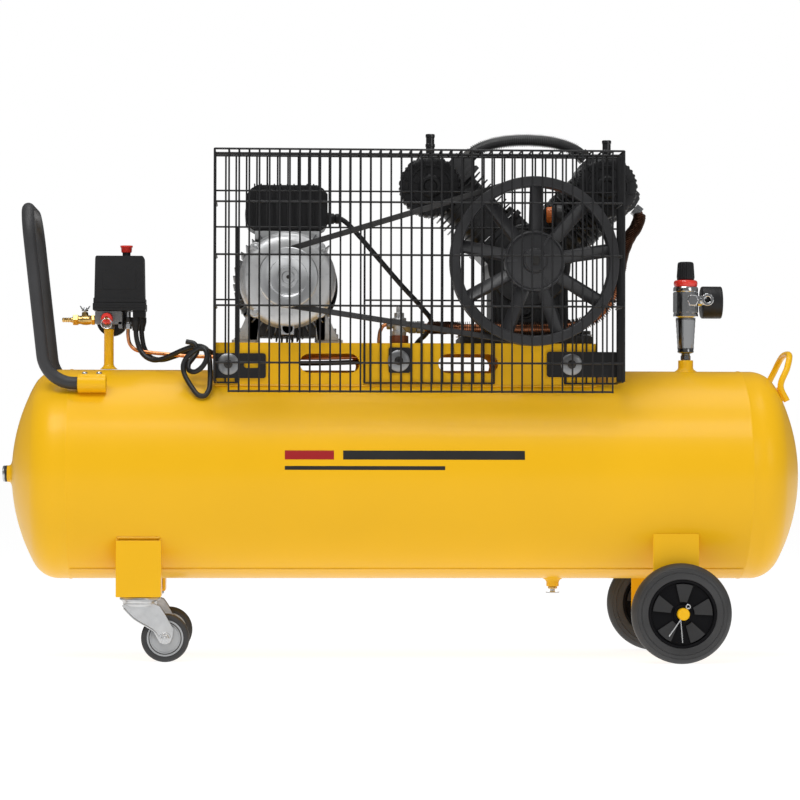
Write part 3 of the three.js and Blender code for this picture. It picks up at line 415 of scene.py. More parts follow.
def about_y(x, y, z, angle):
    """Places a shape drawn at the origin at (x, y, z), turned about Y."""
    return Matrix.Translation((x, y, z)) @ Matrix.Rotation(angle, 4, "Y")


def mirrored(half):
    """A profile followed by its mirror image."""
    return half + [(r, -p) for r, p in reversed(half)]


def length_of(points):
    return sum((b - a).length for a, b in zip(points, points[1:]))


def arc_corner(points, radius, steps):
    """A polyline with its inner corners rounded."""
    path = [Vector(p) for p in points]
    out = [path[0]]
    for a, b, c in zip(path, path[1:], path[2:]):
        back, on = (a - b).normalized(), (c - b).normalized()
        half = back.angle(on) / 2
        setback = radius / tan(half)
        middle = b + (back + on).normalized() * (radius / sin(half))
        start, end = b + back * setback - middle, b + on * setback - middle
        swing = start.angle(end)
        for k in range(steps + 1):
            f = k / steps
            out.append(middle + (start * sin((1 - f) * swing) + end * sin(f * swing)) / sin(swing))
    out.append(path[-1])
    return out


# ---------------------------------------------------------------- cables and tube
def cable(name, node, points, radius, mat, count=150):
    line = spline(points, count)
    shape = Shape().tube(line, radius, mat, sides=14)
    piece = shape.build(name, "frame", [node])
    return piece


POWER_ROUTE = [
    [-424.5, -8, 540], [-424.5, -8, 522], [-423, -9, 507], [-418, -12, 491], [-409, -17, 479],
    [-396, -23, 473], [-380, -31, 475], [-363, -41, 482], [-349, -49, 488], [-334, -54, 493],
    [-321, -59, 494], [-311, -68, 489], [-307, -78, 478], [-305, -88, 465], [-304.5, -99, 451],
    [-304.5, -109, 437.5], [-306, -116.5, 424.5], [-312.5, -120.5, 415], [-322, -120.5, 415.5],
    [-331, -115, 425.5], [-339, -108, 438], [-345, -103, 450], [-346.5, -100, 463], [-341, -98, 475],
    [-331, -99, 484], [-321, -102, 489.5], [-312.5, -106.5, 487], [-309.5, -110, 475], [-316, -112, 461],
    [-327.5, -108, 452.5], [-337.5, -98, 455], [-338.5, -86, 465], [-332, -77, 474.5],
    [-325.5, -72, 486], [-330, -68, 497.5], [-343, -65, 501],
]
MOTOR_ROUTE = [[-111, 0, 701], [-99, 0, 701], [-86, 0, 692], [-42, 2, 643], [-2, 4, 597], [34, 8, 558],
               [48, 10, 538], [40, 10, 518], [27, 10, 505], [19, 10, 493], [6, 13, 481], [-18, 18, 475],
               [-80, 26, 472], [-160, 26, 470], [-250, 20, 472], [-300, 12, 485], [-318, 6, 492],
               [-338, 2, 489], [-362, 0, 480], [-384, 0, 474], [-401, 2, 478], [-411, 4, 492],
               [-415, 4, 510], [-416, 4, 524], [-416, 4, 540]]
UNLOADER_ROUTE = [[-437, 0, 528], [-437, 0, 512], [-434, 0, 499], [-425, -2, 490], [-405, -4, 486],
                  [-375, -6, 483], [-345, -8, 480], [-305, -10, 479], [-250, -14, 478], [-180, -22, 477],
                  [-110, -34, 477], [-70, -39, 479], [-48, -40, 484], [-39, -40, 495], [-38, -40, 508],
                  [-36, -40, 520], [-31, -40, 528.5], [-25.5, -40, 530], [-19, -40, 530]]
cable("power_lead", "power_cord", POWER_ROUTE, 4, JACKET, count=220)
cable("motor_lead", "motor_cable", MOTOR_ROUTE, 4, JACKET, count=170)
cable("unloader_line", "unloader_tube", UNLOADER_ROUTE, 3, COPPER,
      count=150)

# ---------------------------------------------------------------- tank
TANK_R, TANK_Z, TANK_LEFT, TANK_RIGHT = 166, 292, -620, 635
CROWN, KNUCKLE = 295, 45
SEAM_LEFT, SEAM_RIGHT, SEAM_STEPS = -526, 541, 240


def dish_profile(radius, crown, knuckle, apex, way, steps=18):
    turn = asin((radius - knuckle) / (crown - knuckle))
    depth = crown - (crown - knuckle) * cos(turn)
    points = []
    for i in range(steps + 1):
        a = turn * i / steps
        points.append((crown * sin(a), apex - way * crown * (1 - cos(a))))
    for i in range(1, steps + 1):
        a = turn + (pi / 2 - turn) * i / steps
        points.append((radius - knuckle + knuckle * sin(a), apex - way * (depth - knuckle * cos(a))))
    return points


def bead(centre, height=0.9, half=3.5):
    return [(TANK_R, centre + half), (TANK_R + height * 0.7, centre + half * 0.5), (TANK_R + height, centre),
            (TANK_R + height * 0.7, centre - half * 0.5), (TANK_R, centre - half)]


def build_tank():
    shape = Shape()
    outer_right = dish_profile(TANK_R, CROWN, KNUCKLE, TANK_RIGHT, 1)
    outer_left = [p for p in dish_profile(TANK_R, CROWN, KNUCKLE, TANK_LEFT, -1) if p[0] > 18]
    body = outer_right + bead(SEAM_RIGHT) + bead(SEAM_LEFT) + outer_left[::-1]
    body += [(17, -621.2), (14.5, -622.6), (13.3, -624.5), (13.3, -627.4), (12.7, -628), (10.6, -628),
             (10.5, -612)]
    shape.lathe("x", body, 0, TANK_Z, YELLOW, 144)
    seam = []
    for i in range(SEAM_STEPS):
        x = -524 + 1063 * i / (SEAM_STEPS - 1)
        a = radians(27 + 0.02 * sin(i * 1.3))
        r = TANK_R + 0.1
        seam.append((x, -r * sin(a), TANK_Z - r * cos(a)))
    shape.tube(seam, 1.6, WELD, 8, radii=[1.5 + 0.15 * sin(i * 2.1) for i in range(SEAM_STEPS)])
    return shape.build("tank", "frame", ["tank_shell"], "yellow_paint", crease=50)


build_tank()

GRIP_Z, DRAIN_X, REG_X, CHECK_X, CHECK_Y = 434, 243, 457.5, -6, -40
fittings = Shape()
for y in (-110, 110):
    fittings.lathe("x", [(10.4, -466), (13.6, -466), (14.8, -467.2), (15, -469), (15, -507.5),
                         (14.6, -509.6), (13.4, -510.5), (10.4, -510.5), (10.4, -466)], y, GRIP_Z, YELLOW,
                   40)
    out = 1 if y > 0 else -1
    bead_line = [(x, out * (abs(y) - 9.8 + 0.5 * sin(x * 0.9)), 421.6 + 0.5 * cos(x))
                 for x in range(-507, -467, 2)]
    fittings.tube(bead_line, 3.2, WELD, 8)
    for x in (-499.5, -477):
        fittings.lathe("z", [(0, 447.6), (4.6, 447.6), (4.6, 449.6), (3.6, 451.4), (1.6, 451.8), (0, 450.6)],
                       x, y, ZINC, 20)
fittings.lathe("z", [(9, 476), (11.4, 476), (12, 475.2), (12, 464), (13.4, 461), (17.6, 458.2), (19, 456)],
               REG_X, 0, YELLOW, 48)
fittings.lathe("z", [(6, 113), (9.4, 113), (10, 113.8), (10, 120), (12, 123.4), (16.5, 126.2), (18, 129)],
               DRAIN_X, 0, YELLOW, 40)
fittings.lathe("z", [(7, 500), (9.6, 500), (10, 499.4), (10, 452)], CHECK_X, CHECK_Y, YELLOW, 32)
fittings.build("tank_fittings", "frame", (), "yellow_paint")

plug = Shape()
plug.lathe("x", [(0, -632.5), (5, -632.5), (5, -635), (11.4, -635), (12.8, -633.8), (12.8, -631),
                 (10, -630.8), (0, -630.8)], 0, TANK_Z, ZINC, 40)
plug.lathe("x", [(10, -628.2), (13, -628.4), (13.2, -629.6), (12.8, -631), (9.6, -631)], 0, TANK_Z, STUD, 40)
plug.rod("x", -628.4, -613, 0, TANK_Z, 9.8, ZINC, 24)
plug.build("end_plug", "frame", ["tank_plug"], "zinc_steel")

stripes = Shape()


def stripe(x0, x1, z0, z1, mat):
    verts, faces = [], []
    rows, r = 10, TANK_R + 0.12
    for i in range(2):
        for j in range(rows + 1):
            z = z0 + (z1 - z0) * j / rows
            verts.append(((x0, x1)[i], -sqrt(r * r - (z - TANK_Z) ** 2), z))
    for j in range(rows):
        faces.append((j, j + 1, rows + 2 + j, rows + 1 + j))
    stripes.add(verts, faces, mat)


stripe(-188, -112, 316, 330, DECAL_RED)
stripe(-98, 184, 316, 330, DECAL)
stripe(-188, 60, 300, 306, DECAL)
stripes.build("plain_stripes", "frame")

DISH_EDGE, KNUCKLE_X, LABEL_TURN, LABEL_PARTS = 142.8, -543.8, 14, 8


def left_dish_x(r):
    """Where the left dish's paint ends at radius r, with a little room for a label."""
    if r < DISH_EDGE:
        return TANK_LEFT + (CROWN - sqrt(CROWN ** 2 - r * r)) - 0.2
    return KNUCKLE_X - sqrt(KNUCKLE ** 2 - (r - (TANK_R - KNUCKLE)) ** 2) - 0.3


plate = Shape()
for band in ((128, 137), (140, 150)):
    verts = []
    for i in range(LABEL_PARTS + 1):
        a = radians(-LABEL_TURN + 2 * LABEL_TURN * i / LABEL_PARTS)
        verts += [(left_dish_x(r), r * sin(a), TANK_Z + r * cos(a)) for r in band]
    faces = [(2 * i, 2 * i + 1, 2 * i + 3, 2 * i + 2) for i in range(LABEL_PARTS)]
    plate.add(verts, faces, DECAL)
plate.build("blank_data_label", "frame")

# ---------------------------------------------------------------- platform, legs, axle
keep_cad("platform", YELLOW, 1.6)
for node in ("caster_leg_front", "caster_leg_rear", "axle_bracket_front", "axle_bracket_rear"):
    keep_cad(node, YELLOW, 0.9)

leg_welds = Shape()
for side in (-1, 1):
    for x in (-447, -381):
        line = [(x, side * y, TANK_Z - sqrt(TANK_R ** 2 - y * y) - 0.4) for y in range(74, 136, 3)]
        leg_welds.tube(line, 2.2, WELD, 8, radii=[2.1 + 0.35 * sin(i * 2.7) for i in range(len(line))])
    for x0, x1, y in ((-447, -381, 135), (389, 457, 138)):
        z = TANK_Z - sqrt(TANK_R ** 2 - y * y) - 0.5
        line = [(x0 + (x1 - x0) * i / 24, side * y, z) for i in range(25)]
        leg_welds.tube(line, 1.7, WELD, 8, radii=[1.6 + 0.3 * sin(i * 2.3) for i in range(25)])
    line = [(-297 + 600 * i / 160, side * 92.4, 432) for i in range(161)]
    leg_welds.tube(line, 1.8, WELD, 8, radii=[1.7 + 0.3 * sin(i * 2.3) for i in range(161)])
leg_welds.build("bracket_welds", "frame", (), "yellow_paint")

AXLE_X, AXLE_Z, SECTOR_OUT, SECTOR_IN = 428, 78, 46.5, 18.5
axle = Shape()
axle.lathe("y", mirrored([(0, -192), (8, -192), (9.3, -190.6), (9.5, -189)]), AXLE_X, AXLE_Z, YELLOW, 40)
for side in (-1, 1):
    y = side * 185.5
    for foot in ((-22.6, -34), (-1.4, -44)):
        axle.tube([(433.4, y, 86.6), (AXLE_X, y, AXLE_Z), (423.4, y, 69.6),
                   (426 + foot[0] * 0.5, y + side * 0.6, 74 + foot[1] * 0.5),
                   (AXLE_X + foot[0], y + side * 1.4, AXLE_Z + foot[1])], 1.0, ZINC, 8)
    eye = [(435.4 + 3.2 * sin(a * pi / 6), y, 89.8 + 3.2 * cos(a * pi / 6)) for a in range(12)]
    axle.tube(eye, 0.95, ZINC, 8, closed=True)
axle.build("axle_bar", "frame", ["axle"], "yellow_paint")


def road_wheel(side, body, node, name):
    """Solid tyre on a black hub with ten sectors, alternately raised and sunk; the hub body round the raised
    sectors is painted darker as shade in the recesses.
    """
    y = side * 163
    shape = Shape()
    h = 17.5
    tyre = [(53, -h + 2.5), (54, -h + 0.8), (58, -h), (63, -h), (63.6, -h + 0.9), (64.4, -h + 0.9), (65, -h),
            (69, -h + 1), (69.6, -h + 2), (70.4, -h + 2), (71, -h + 1.8), (74, -h + 4.5), (77, -h + 8.5),
            (78, -6), (78, 6), (77, h - 8.5), (74, h - 4.5), (71, h - 1.8), (65, h), (58, h), (54, h - 0.8),
            (53, h - 2.5)]
    shape.lathe("y", [(r, y + p) for r, p in tyre], AXLE_X, AXLE_Z, TYRE, 96)
    hub = mirrored([(9.9, -h), (13.4, -h), (14, -h + 0.6), (14, -h + 6), (17, -h + 6.4), (48, -h + 6.4),
                    (49, -h + 2), (50, -h + 1.4), (52.6, -h + 1.4), (53.4, -h + 2.6)]) + [(9.9, -h)]
    # Painted shade: the hub body takes the darker hub colour as the shade in the sunk sectors.
    shape.lathe("y", [(r, y + p) for r, p in hub], AXLE_X, AXLE_Z, HUB_PAINTED_SHADE, 72)
    for face in (-1, 1):
        for k in range(5):
            start, end = radians(41.5 + 72 * k), radians(74.5 + 72 * k)
            loop = []
            for i in range(9):
                a = start + (end - start) * i / 8
                loop.append((AXLE_X + SECTOR_OUT * cos(a), AXLE_Z - SECTOR_OUT * sin(a)))
            for i in range(5):
                a = end + (start - end) * i / 4
                loop.append((AXLE_X + SECTOR_IN * cos(a), AXLE_Z - SECTOR_IN * sin(a)))
            a, b = y + face * (h - 8), y + face * (h - 2.6)
            shape.slab(loop, min(a, b), max(a, b), HUB)
    shape.build(name, body, [node], "rubber", bevel=0.7)


road_wheel(-1, "wheel_front", "wheel_front", "road_wheel_front")
road_wheel(1, "wheel_rear", "wheel_rear", "road_wheel_rear")


def caster(side, swivel, fork_node, roller, wheel_node, tag):
    y, x, axle_x, axle_z = side * 105, -413, -373, 37.5
    fork = Shape()
    fork.lathe("z", [(0, 101.7), (29, 101.7), (30.5, 100.8), (31.2, 99), (31.2, 96.8), (28, 95.4),
                     (26.5, 93), (25.5, 90.6), (22, 89), (0, 89)], x, y, ZINC, 56)
    fork.lathe("z", [(0, 86), (20, 86), (24.6, 87), (26.4, 89.4), (26.4, 92), (24.6, 93)], x, y, ZINC, 48)
    fork.rod("z", 96, 111.5, x, y, 5.8, STUD, 20)
    fork.lathe("z", [(0, 84.8), (7.5, 84.8), (8, 85.4), (8, 87.4), (0, 87.4)], x, y, STUD, 6)
    for face in (-1, 1):
        wall = y + face * 15.6
        loop = [(x - 27, 88.5), (x - 20, 91), (x + 22, 91), (x + 31, 88), (x + 38, 78), (axle_x + 13, 52),
                (axle_x + 11.5, 40), (axle_x + 8, 31), (axle_x, 28), (axle_x - 8, 30.5), (axle_x - 12, 38),
                (axle_x - 18, 48), (x - 8, 66), (x - 22, 80)]
        fork.slab(loop, min(wall - face * 1.3, wall + face * 1.3), max(wall - face * 1.3, wall + face * 1.3),
                  ZINC)
        ridge = [(x - 24, wall + face * 1.2, 84), (x - 8, wall + face * 1.6, 68),
                 (axle_x - 15, wall + face * 1.4, 47), (axle_x - 9, wall + face * 1.2, 36)]
        fork.tube(spline(ridge, 14), 1.5, ZINC, 8)
        fork.hexagon("y", y + face * 17, y + face * 22.5, axle_x, axle_z, 7, ZINC)
        fork.rod("y", y + face * 21, y + face * 25, axle_x, axle_z, 3.6, ZINC, 16)
        fork.rod("y", y + face * 16.6, y + face * 18, axle_x, axle_z, 9.4, ZINC, 28)
    fork.block(x - 24, x + 26, y - 15, y + 15, 88.2, 90.6, ZINC)
    fork.rod("y", y - 17, y + 17, axle_x, axle_z, 3.9, ZINC, 16)
    fork.build("caster_fork_" + tag, swivel, [fork_node], "zinc_steel", bevel=0.5)
    wheel = Shape()
    h = 13
    tread = mirrored([(28.6, -h + 1.4), (29.6, -h + 0.2), (33.4, -h), (36.4, -h + 2), (37.5, -h + 5)])
    disc = mirrored([(4.3, -h), (11, -h), (11.6, -h + 1.6), (21.5, -h + 3.2), (23, -h + 1.6),
                     (28.4, -h + 1.2), (28.9, -h + 2.4)]) + [(4.3, -h)]
    wheel.lathe("y", [(r, y + p) for r, p in tread], axle_x, axle_z, TYRE, 64)
    wheel.lathe("y", [(r, y + p) for r, p in disc], axle_x, axle_z, PALE, 56)
    # Painted shade: a thin dark ring on each face of the roller stands for the shade in its recess.
    for face in (-1, 1):
        wheel.lathe("y", [(24.3, y + face * (h - 2)), (24.3, y + face * (h - 0.9)),
                          (25.6, y + face * (h - 0.9)), (25.6, y + face * (h - 2)),
                          (24.3, y + face * (h - 2))], axle_x, axle_z, STUD, 48)
    wheel.build("caster_roller_" + tag, roller, [wheel_node], "rubber")


caster(-1, "caster_front", "caster_fork_front", "caster_wheel_front", "caster_wheel_front", "a")
caster(1, "caster_rear", "caster_fork_rear", "caster_wheel_rear", "caster_wheel_rear", "b")

# ---------------------------------------------------------------- handle and loop
LEAN, GRIP_TOP = 0.1126, 709
top_x = -560 - tan(LEAN) * (GRIP_TOP - GRIP_Z)
grip = arc_corner([(-469, -110, GRIP_Z), (-560, -110, GRIP_Z), (top_x, -110, GRIP_TOP),
                   (top_x, 110, GRIP_TOP), (-560, 110, GRIP_Z), (-469, 110, GRIP_Z)], 49, 14)
handle = Shape().tube(grip, 9.9, SLEEVE, 32)
handle.build("tow_handle", "frame", ["handle_bar"], "rubber")

loop_side = [(611, -60, 410), (601, -60, 433.5), (612, -56, 462), (619, -38, 481), (621, 0, 486)]
loop_line = spline(loop_side + [(x, -y, z) for x, y, z in loop_side[:-1][::-1]], 90)
loop = Shape().tube(loop_line, 5, YELLOW, 20)
for side in (-1, 1):
    foot = [(600 + 9 * i / 8, side * 60, 432 - 22 * i / 8) for i in range(9)]
    loop.tube([(x - 3.6, y, z) for x, y, z in foot], 2.6, WELD, 8)
loop.build("lift_loop", "frame", ["lifting_loop"], "yellow_paint")

drain = Shape()
drain.lathe("z", [(3.1, 112.6), (6.6, 112.6), (7.5, 111.8), (7.5, 109.8), (6.6, 109.1), (3.1, 109.1)],
            DRAIN_X, 0, BRASS, 32)
drain.build("drain_seat", "frame", (), "brass", bevel=0.3)
wing = Shape()
wing.rod("z", 112, 102.2, DRAIN_X, 0, 2.7, ZINC, 16)
wing.lathe("z", [(0, 108.7), (3.9, 108.6), (4, 107.6), (3.7, 105.4), (4.6, 103.4), (4, 102.1), (0, 102)],
           DRAIN_X, 0, ZINC, 24)
for side in (-1, 1):
    ear = [(DRAIN_X + side * 3, 103.0), (DRAIN_X + side * 7, 103.4), (DRAIN_X + side * 11, 104.4),
           (DRAIN_X + side * 10.6, 102.6), (DRAIN_X + side * 7, 102.1), (DRAIN_X + side * 3, 102.0)]
    wing.slab(ear, -1.6, 1.6, ZINC)
wing.build("drain_wing", "drain_screw", ["drain_screw"], "zinc_steel", bevel=0.3)

# ---------------------------------------------------------------- belt guard
G_LEFT, G_RIGHT, G_FRONT, G_REAR, G_TOP, G_CORNER, G_HEM = -297.2, 335.7, -186, -94.4, 794.2, 437, 421
PITCH = 15.6
columns = [-275 + PITCH * k for k in range(39)]
THICK, THIN = 1.65, 1.45


def wire(shape, a, b, radius=THIN):
    """A straight welded wire with slightly narrowed ends."""
    start, end = Vector(a), Vector(b)
    way = (end - start).normalized() * radius
    points = [start, start + way * 0.3, end - way * 0.3, end]
    return shape.tube(points, radius, WIRE, 10, radii=[radius * 0.6, radius, radius, radius * 0.6])


front = Shape()
for x in columns:
    wire(front, (x, G_FRONT, G_HEM - 2), (x, G_FRONT, G_TOP + 0.3))
for x in (G_LEFT, G_RIGHT):
    wire(front, (x, G_FRONT, G_CORNER), (x, G_FRONT, G_TOP + 0.5), THICK)
for z in (G_TOP, 713, 631.5, 553, 465):
    wire(front, (G_LEFT, G_FRONT + 2.2, z), (G_RIGHT, G_FRONT + 2.2, z), THICK)
wire(front, (columns[0] - 1, G_FRONT + 2.2, G_HEM), (columns[-1] + 1, G_FRONT + 2.2, G_HEM), THICK)
front.build("guard_front_mesh", "frame", ["guard_front"], "black_metal")

sides = Shape()
for x in [G_LEFT, *columns, G_RIGHT]:
    wire(sides, (x, G_FRONT + 2, G_TOP), (x, G_REAR - 3, G_TOP))
for y in (-142, -98.5):
    wire(sides, (G_LEFT, y, G_TOP - 2.6), (G_RIGHT, y, G_TOP - 2.6), THICK)
for x, inward in ((G_LEFT, 2.2), (G_RIGHT, -2.2)):
    for j in range(1, 6):
        y = G_FRONT + 16.6 * j
        wire(sides, (x, y, G_CORNER - 1), (x, y, G_TOP))
    wire(sides, (x, -98.5, G_CORNER - 1), (x, -98.5, G_TOP), THICK)
    for z in (713, 631.5, 553, G_CORNER):
        wire(sides, (x + inward, G_FRONT + 2, z), (x + inward, -98.3, z), THICK)
sides.build("guard_side_mesh", "frame", ["guard_top", "guard_left", "guard_right"], "black_metal")

rear = Shape()
step = (G_RIGHT - G_LEFT) / 39
gaps = ((-263, -63), (141, 253))
for k in range(40):
    x = G_LEFT + step * k
    inside = any(a < x < b for a, b in gaps)
    wire(rear, (x, G_REAR, 680 if inside else 435), (x, G_REAR, G_TOP))
for z in (G_TOP, 737, 680):
    wire(rear, (G_LEFT, G_REAR - 1.4, z), (G_RIGHT, G_REAR - 1.4, z))
for x0, x1 in ((G_LEFT, -263), (-63, 141), (253, G_RIGHT)):
    for z in (566, 436):
        wire(rear, (x0, G_REAR - 1.4, z), (x1, G_REAR - 1.4, z))
for x in (-263, -63, 141, 253):
    wire(rear, (x, G_REAR, 435), (x, G_REAR, 681), THICK)


def round_slot(x0, x1, z0, z1, radius, steps=6):
    """Outline of a rectangle with rounded corners."""
    loop = []
    for cx, cz, start in ((x1 - radius, z1 - radius, 0), (x0 + radius, z1 - radius, 90),
                          (x0 + radius, z0 + radius, 180), (x1 - radius, z0 + radius, 270)):
        for i in range(steps + 1):
            a = radians(start + 90 * i / steps)
            loop.append((cx + radius * cos(a), cz + radius * sin(a)))
    return loop


rear.slab(round_slot(-299, -217.5, 443, 482, 4), -95.8, -92.4, WIRE, [round_slot(-252, -228, 459, 468, 4.4)])
rear.slab(round_slot(224.5, 337.5, 446, 486, 4), -95.8, -92.4, WIRE)
rear.slab(round_slot(-25, 9, 452, 492, 3), -95.4, -92.4, WIRE)
rear.build("guard_rear_mesh", "frame", ["guard_rear"], "black_metal", bevel=0.3)

washers = Shape()
for x, z in ((-276.5, 465), (-9, 471), (263.5, 466)):
    washers.lathe("y", [(0, -98.4), (6, -98.6), (11, -98.1), (15.4, -96.9), (17, -95.9), (17, -95),
                        (0, -95)], x, z, WASHER, 40)
    washers.lathe("y", [(0, -102.6), (4.6, -102.6), (6.6, -101.2), (7, -99.4), (7, -98.2), (0, -98.2)], x, z,
                  STUD, 28)
    washers.hexagon("y", -103.2, -101, x, z, 3.0, WIRE)
washers.build("guard_washers", "frame", (), "zinc_steel")

# ---------------------------------------------------------------- belt, pulley, flywheel
DRIVE_Y, PUMP_X, PUMP_Z, MOTOR_X, MOTOR_Z = -140, 200, 625.5, -183.5, 598
SHEAVE_R, FLY_R = 46.6, 132


def belt_point(s, radius_in):
    """Place on the belt's run at share s of its way round, at a depth below the pulley rims."""
    r1, r2 = SHEAVE_R - radius_in, FLY_R - radius_in
    dx, dz = PUMP_X - MOTOR_X, PUMP_Z - MOTOR_Z
    along, gap = atan2(dz, dx), hypot(dx, dz)
    fan = acos((r1 - r2) / gap)
    small, large, run = 2 * pi - 2 * fan, 2 * fan, sqrt(gap ** 2 - (r1 - r2) ** 2)
    total = small * r1 + large * r2 + 2 * run
    d = s * total
    if d < small * r1:
        a = along + fan + d / r1
        return MOTOR_X + r1 * cos(a), MOTOR_Z + r1 * sin(a)
    d -= small * r1
    if d < run:
        a = along - fan
        x0, z0 = MOTOR_X + r1 * cos(a), MOTOR_Z + r1 * sin(a)
        x1, z1 = PUMP_X + r2 * cos(a), PUMP_Z + r2 * sin(a)
        return x0 + (x1 - x0) * d / run, z0 + (z1 - z0) * d / run
    d -= run
    if d < large * r2:
        a = along - fan + d / r2
        return PUMP_X + r2 * cos(a), PUMP_Z + r2 * sin(a)
    d -= large * r2
    a = along + fan
    x0, z0 = PUMP_X + r2 * cos(a), PUMP_Z + r2 * sin(a)
    x1, z1 = MOTOR_X + r1 * cos(a), MOTOR_Z + r1 * sin(a)
    return x0 + (x1 - x0) * d / run, z0 + (z1 - z0) * d / run


belt = Shape()
STEPS = 420
section = [(0.4, -6.2), (0.2, -5.4), (0.2, 5.4), (0.4, 6.2), (1.4, 6.4), (8.2, 4.3), (8.8, 3.6), (8.8, -3.6),
           (8.2, -4.3), (1.4, -6.4)]
verts, faces = [], []
for i in range(STEPS):
    for depth, across in section:
        x, z = belt_point(i / STEPS, depth)
        verts.append((x, DRIVE_Y + across, z))
n = len(section)
for i in range(STEPS):
    a, b = i * n, ((i + 1) % STEPS) * n
    for k in range(n):
        m = (k + 1) % n
        faces.append((a + k, b + k, b + m, a + m))
belt.add(verts, faces, BELT)
belt.build("v_belt", "frame", ["drive_belt"], "rubber", crease=25)

wheel = Shape()
rim = mirrored([(FLY_R - 15.5, -14.5), (FLY_R - 14, -16), (FLY_R - 1, -16), (FLY_R, -15), (FLY_R, -8.2),
                (FLY_R - 0.8, -7.4), (FLY_R - 10.4, -5)])
rim += [(FLY_R - 16.4, 6), (FLY_R - 16.4, -6), (FLY_R - 15.5, -14.5)]
wheel.lathe("y", [(r, DRIVE_Y + p) for r, p in rim], PUMP_X, PUMP_Z, IRON, 120)
hub = [(12.3, -24), (13.5, -25), (18, -25), (19, -24), (19.6, -14.6), (43, -10.4), (43.6, -13), (45, -14),
       (47, -13.4), (47.4, -11), (47.4, 10), (46, 11), (24.5, 14), (24, 24), (23, 25), (13.5, 25),
       (12.3, 24), (12.3, -24)]
wheel.lathe("y", [(r, DRIVE_Y + p) for r, p in hub], PUMP_X, PUMP_Z, IRON, 72)
for k in range(9):
    place = about_y(PUMP_X, DRIVE_Y, PUMP_Z, radians(1.5 + 40 * k))
    verts, rings = [], []
    for i in range(7):
        f = i / 6
        z = 44 + (FLY_R - 16 - 44 + 2) * f
        lean = radians(26 + 16 * f)
        half, thick = 9.5 + 1.8 * f, 3.2 + 0.6 * (1 - f)
        for a, b in ((-half, -thick), (-half + 1.5, -thick - 0.8), (half - 1.5, -thick - 0.8),
                     (half, -thick), (half, thick), (half - 1.5, thick + 0.8), (-half + 1.5, thick + 0.8),
                     (-half, thick)):
            verts.append((a * cos(lean) - b * sin(lean), a * sin(lean) + b * cos(lean), z))
    verts = [tuple(place @ Vector(v)) for v in verts]
    faces = [tuple(range(8)), tuple(range(48, 56))[::-1]]
    for i in range(6):
        for j in range(8):
            m = (j + 1) % 8
            faces.append((i * 8 + j, i * 8 + m, i * 8 + 8 + m, i * 8 + 8 + j))
    wheel.add(verts, faces, IRON)
for k in range(3):
    spin = about_y(PUMP_X, DRIVE_Y, PUMP_Z, radians(30 + 120 * k))
    wheel.block(-1.6, 1.6, -13.2, -9, 18, 44, IRON, spin)
wheel.build("fan_flywheel", "flywheel", ["flywheel"], "black_metal", bevel=0.5, crease=30)

shaft = Shape()
shaft.lathe("y", [(0, -163), (11, -163), (12, -162), (12, -28), (28, -28), (30, -27), (30, -21), (28, -20),
                  (0, -20)], PUMP_X, PUMP_Z, ZINC, 40)
shaft.lathe("y", [(0, -165.2), (17.4, -165.2), (17.8, -164.6), (17.8, -165.2)], PUMP_X, PUMP_Z, IRON, 40)
shaft.lathe("y", [(0, -166.4), (15.8, -166.4), (16.6, -165.6), (16.6, -164.6), (0, -164.6)], PUMP_X, PUMP_Z,
            IRON, 40)
shaft.hexagon("y", -171.5, -166, PUMP_X, PUMP_Z, 7.6, STUD)
shaft.rod("y", 20, 28, PUMP_X, PUMP_Z, 30, ZINC, 40)
shaft.rod("y", -21, 21, PUMP_X, PUMP_Z + 16, 9, ZINC, 24)
shaft.build("pump_shaft", "flywheel", ["crankshaft"], "zinc_steel")

drive = Shape()
sheave = [(9.7, -24.4), (10.4, -25), (15.6, -25), (16.4, -24.2), (16.8, -23.6), (17.4, -24.4), (28.4, -24.8),
          (29.2, -25.2), (30.2, -24.4), (31, -24.8), (SHEAVE_R - 1.4, -25), (SHEAVE_R, -23.6),
          (SHEAVE_R, -8.2), (SHEAVE_R - 0.8, -7.4), (SHEAVE_R - 10.4, -5), (SHEAVE_R - 10.4, 5),
          (SHEAVE_R - 0.8, 7.4), (SHEAVE_R, 8.2), (SHEAVE_R, 12), (SHEAVE_R - 1, 13), (16, 13), (16, 24.4),
          (15.4, 25), (10.2, 25), (9.7, 24.4), (9.7, -24.4)]
drive.lathe("y", [(a, DRIVE_Y + p) for a, p in sheave], MOTOR_X, MOTOR_Z, TURNED, 96)
drive.build("sheave", "motor_drive", ["motor_pulley"], "aluminium", crease=30)
rotor = Shape()
rotor.rod("y", -164.2, 156, MOTOR_X, MOTOR_Z, 9.4, TURNED, 32)
rotor.rod("y", -165.4, -163.8, MOTOR_X, MOTOR_Z, 3, STUD, 16)
rotor.block(MOTOR_X + 9, MOTOR_X + 16, -166, -150, MOTOR_Z - 4, MOTOR_Z + 4, TURNED)
rotor.rod("y", -40, 100, MOTOR_X, MOTOR_Z, 47.6, STUD, 48)
rotor.lathe("y", [(9, 124), (24, 124), (60, 130), (62, 131.4), (60, 132.6), (24, 128), (9, 134), (9, 124)],
            MOTOR_X, MOTOR_Z, PLASTIC, 48)
for k in range(7):
    turn = about_y(MOTOR_X, 0, MOTOR_Z, 2 * pi * k / 7)
    rotor.block(-1.2, 1.2, 130, 156, 18, 68, PLASTIC, turn)
rotor.build("rotor_and_fan", "motor_drive", ["motor_rotor"], "zinc_steel", bevel=0.4)

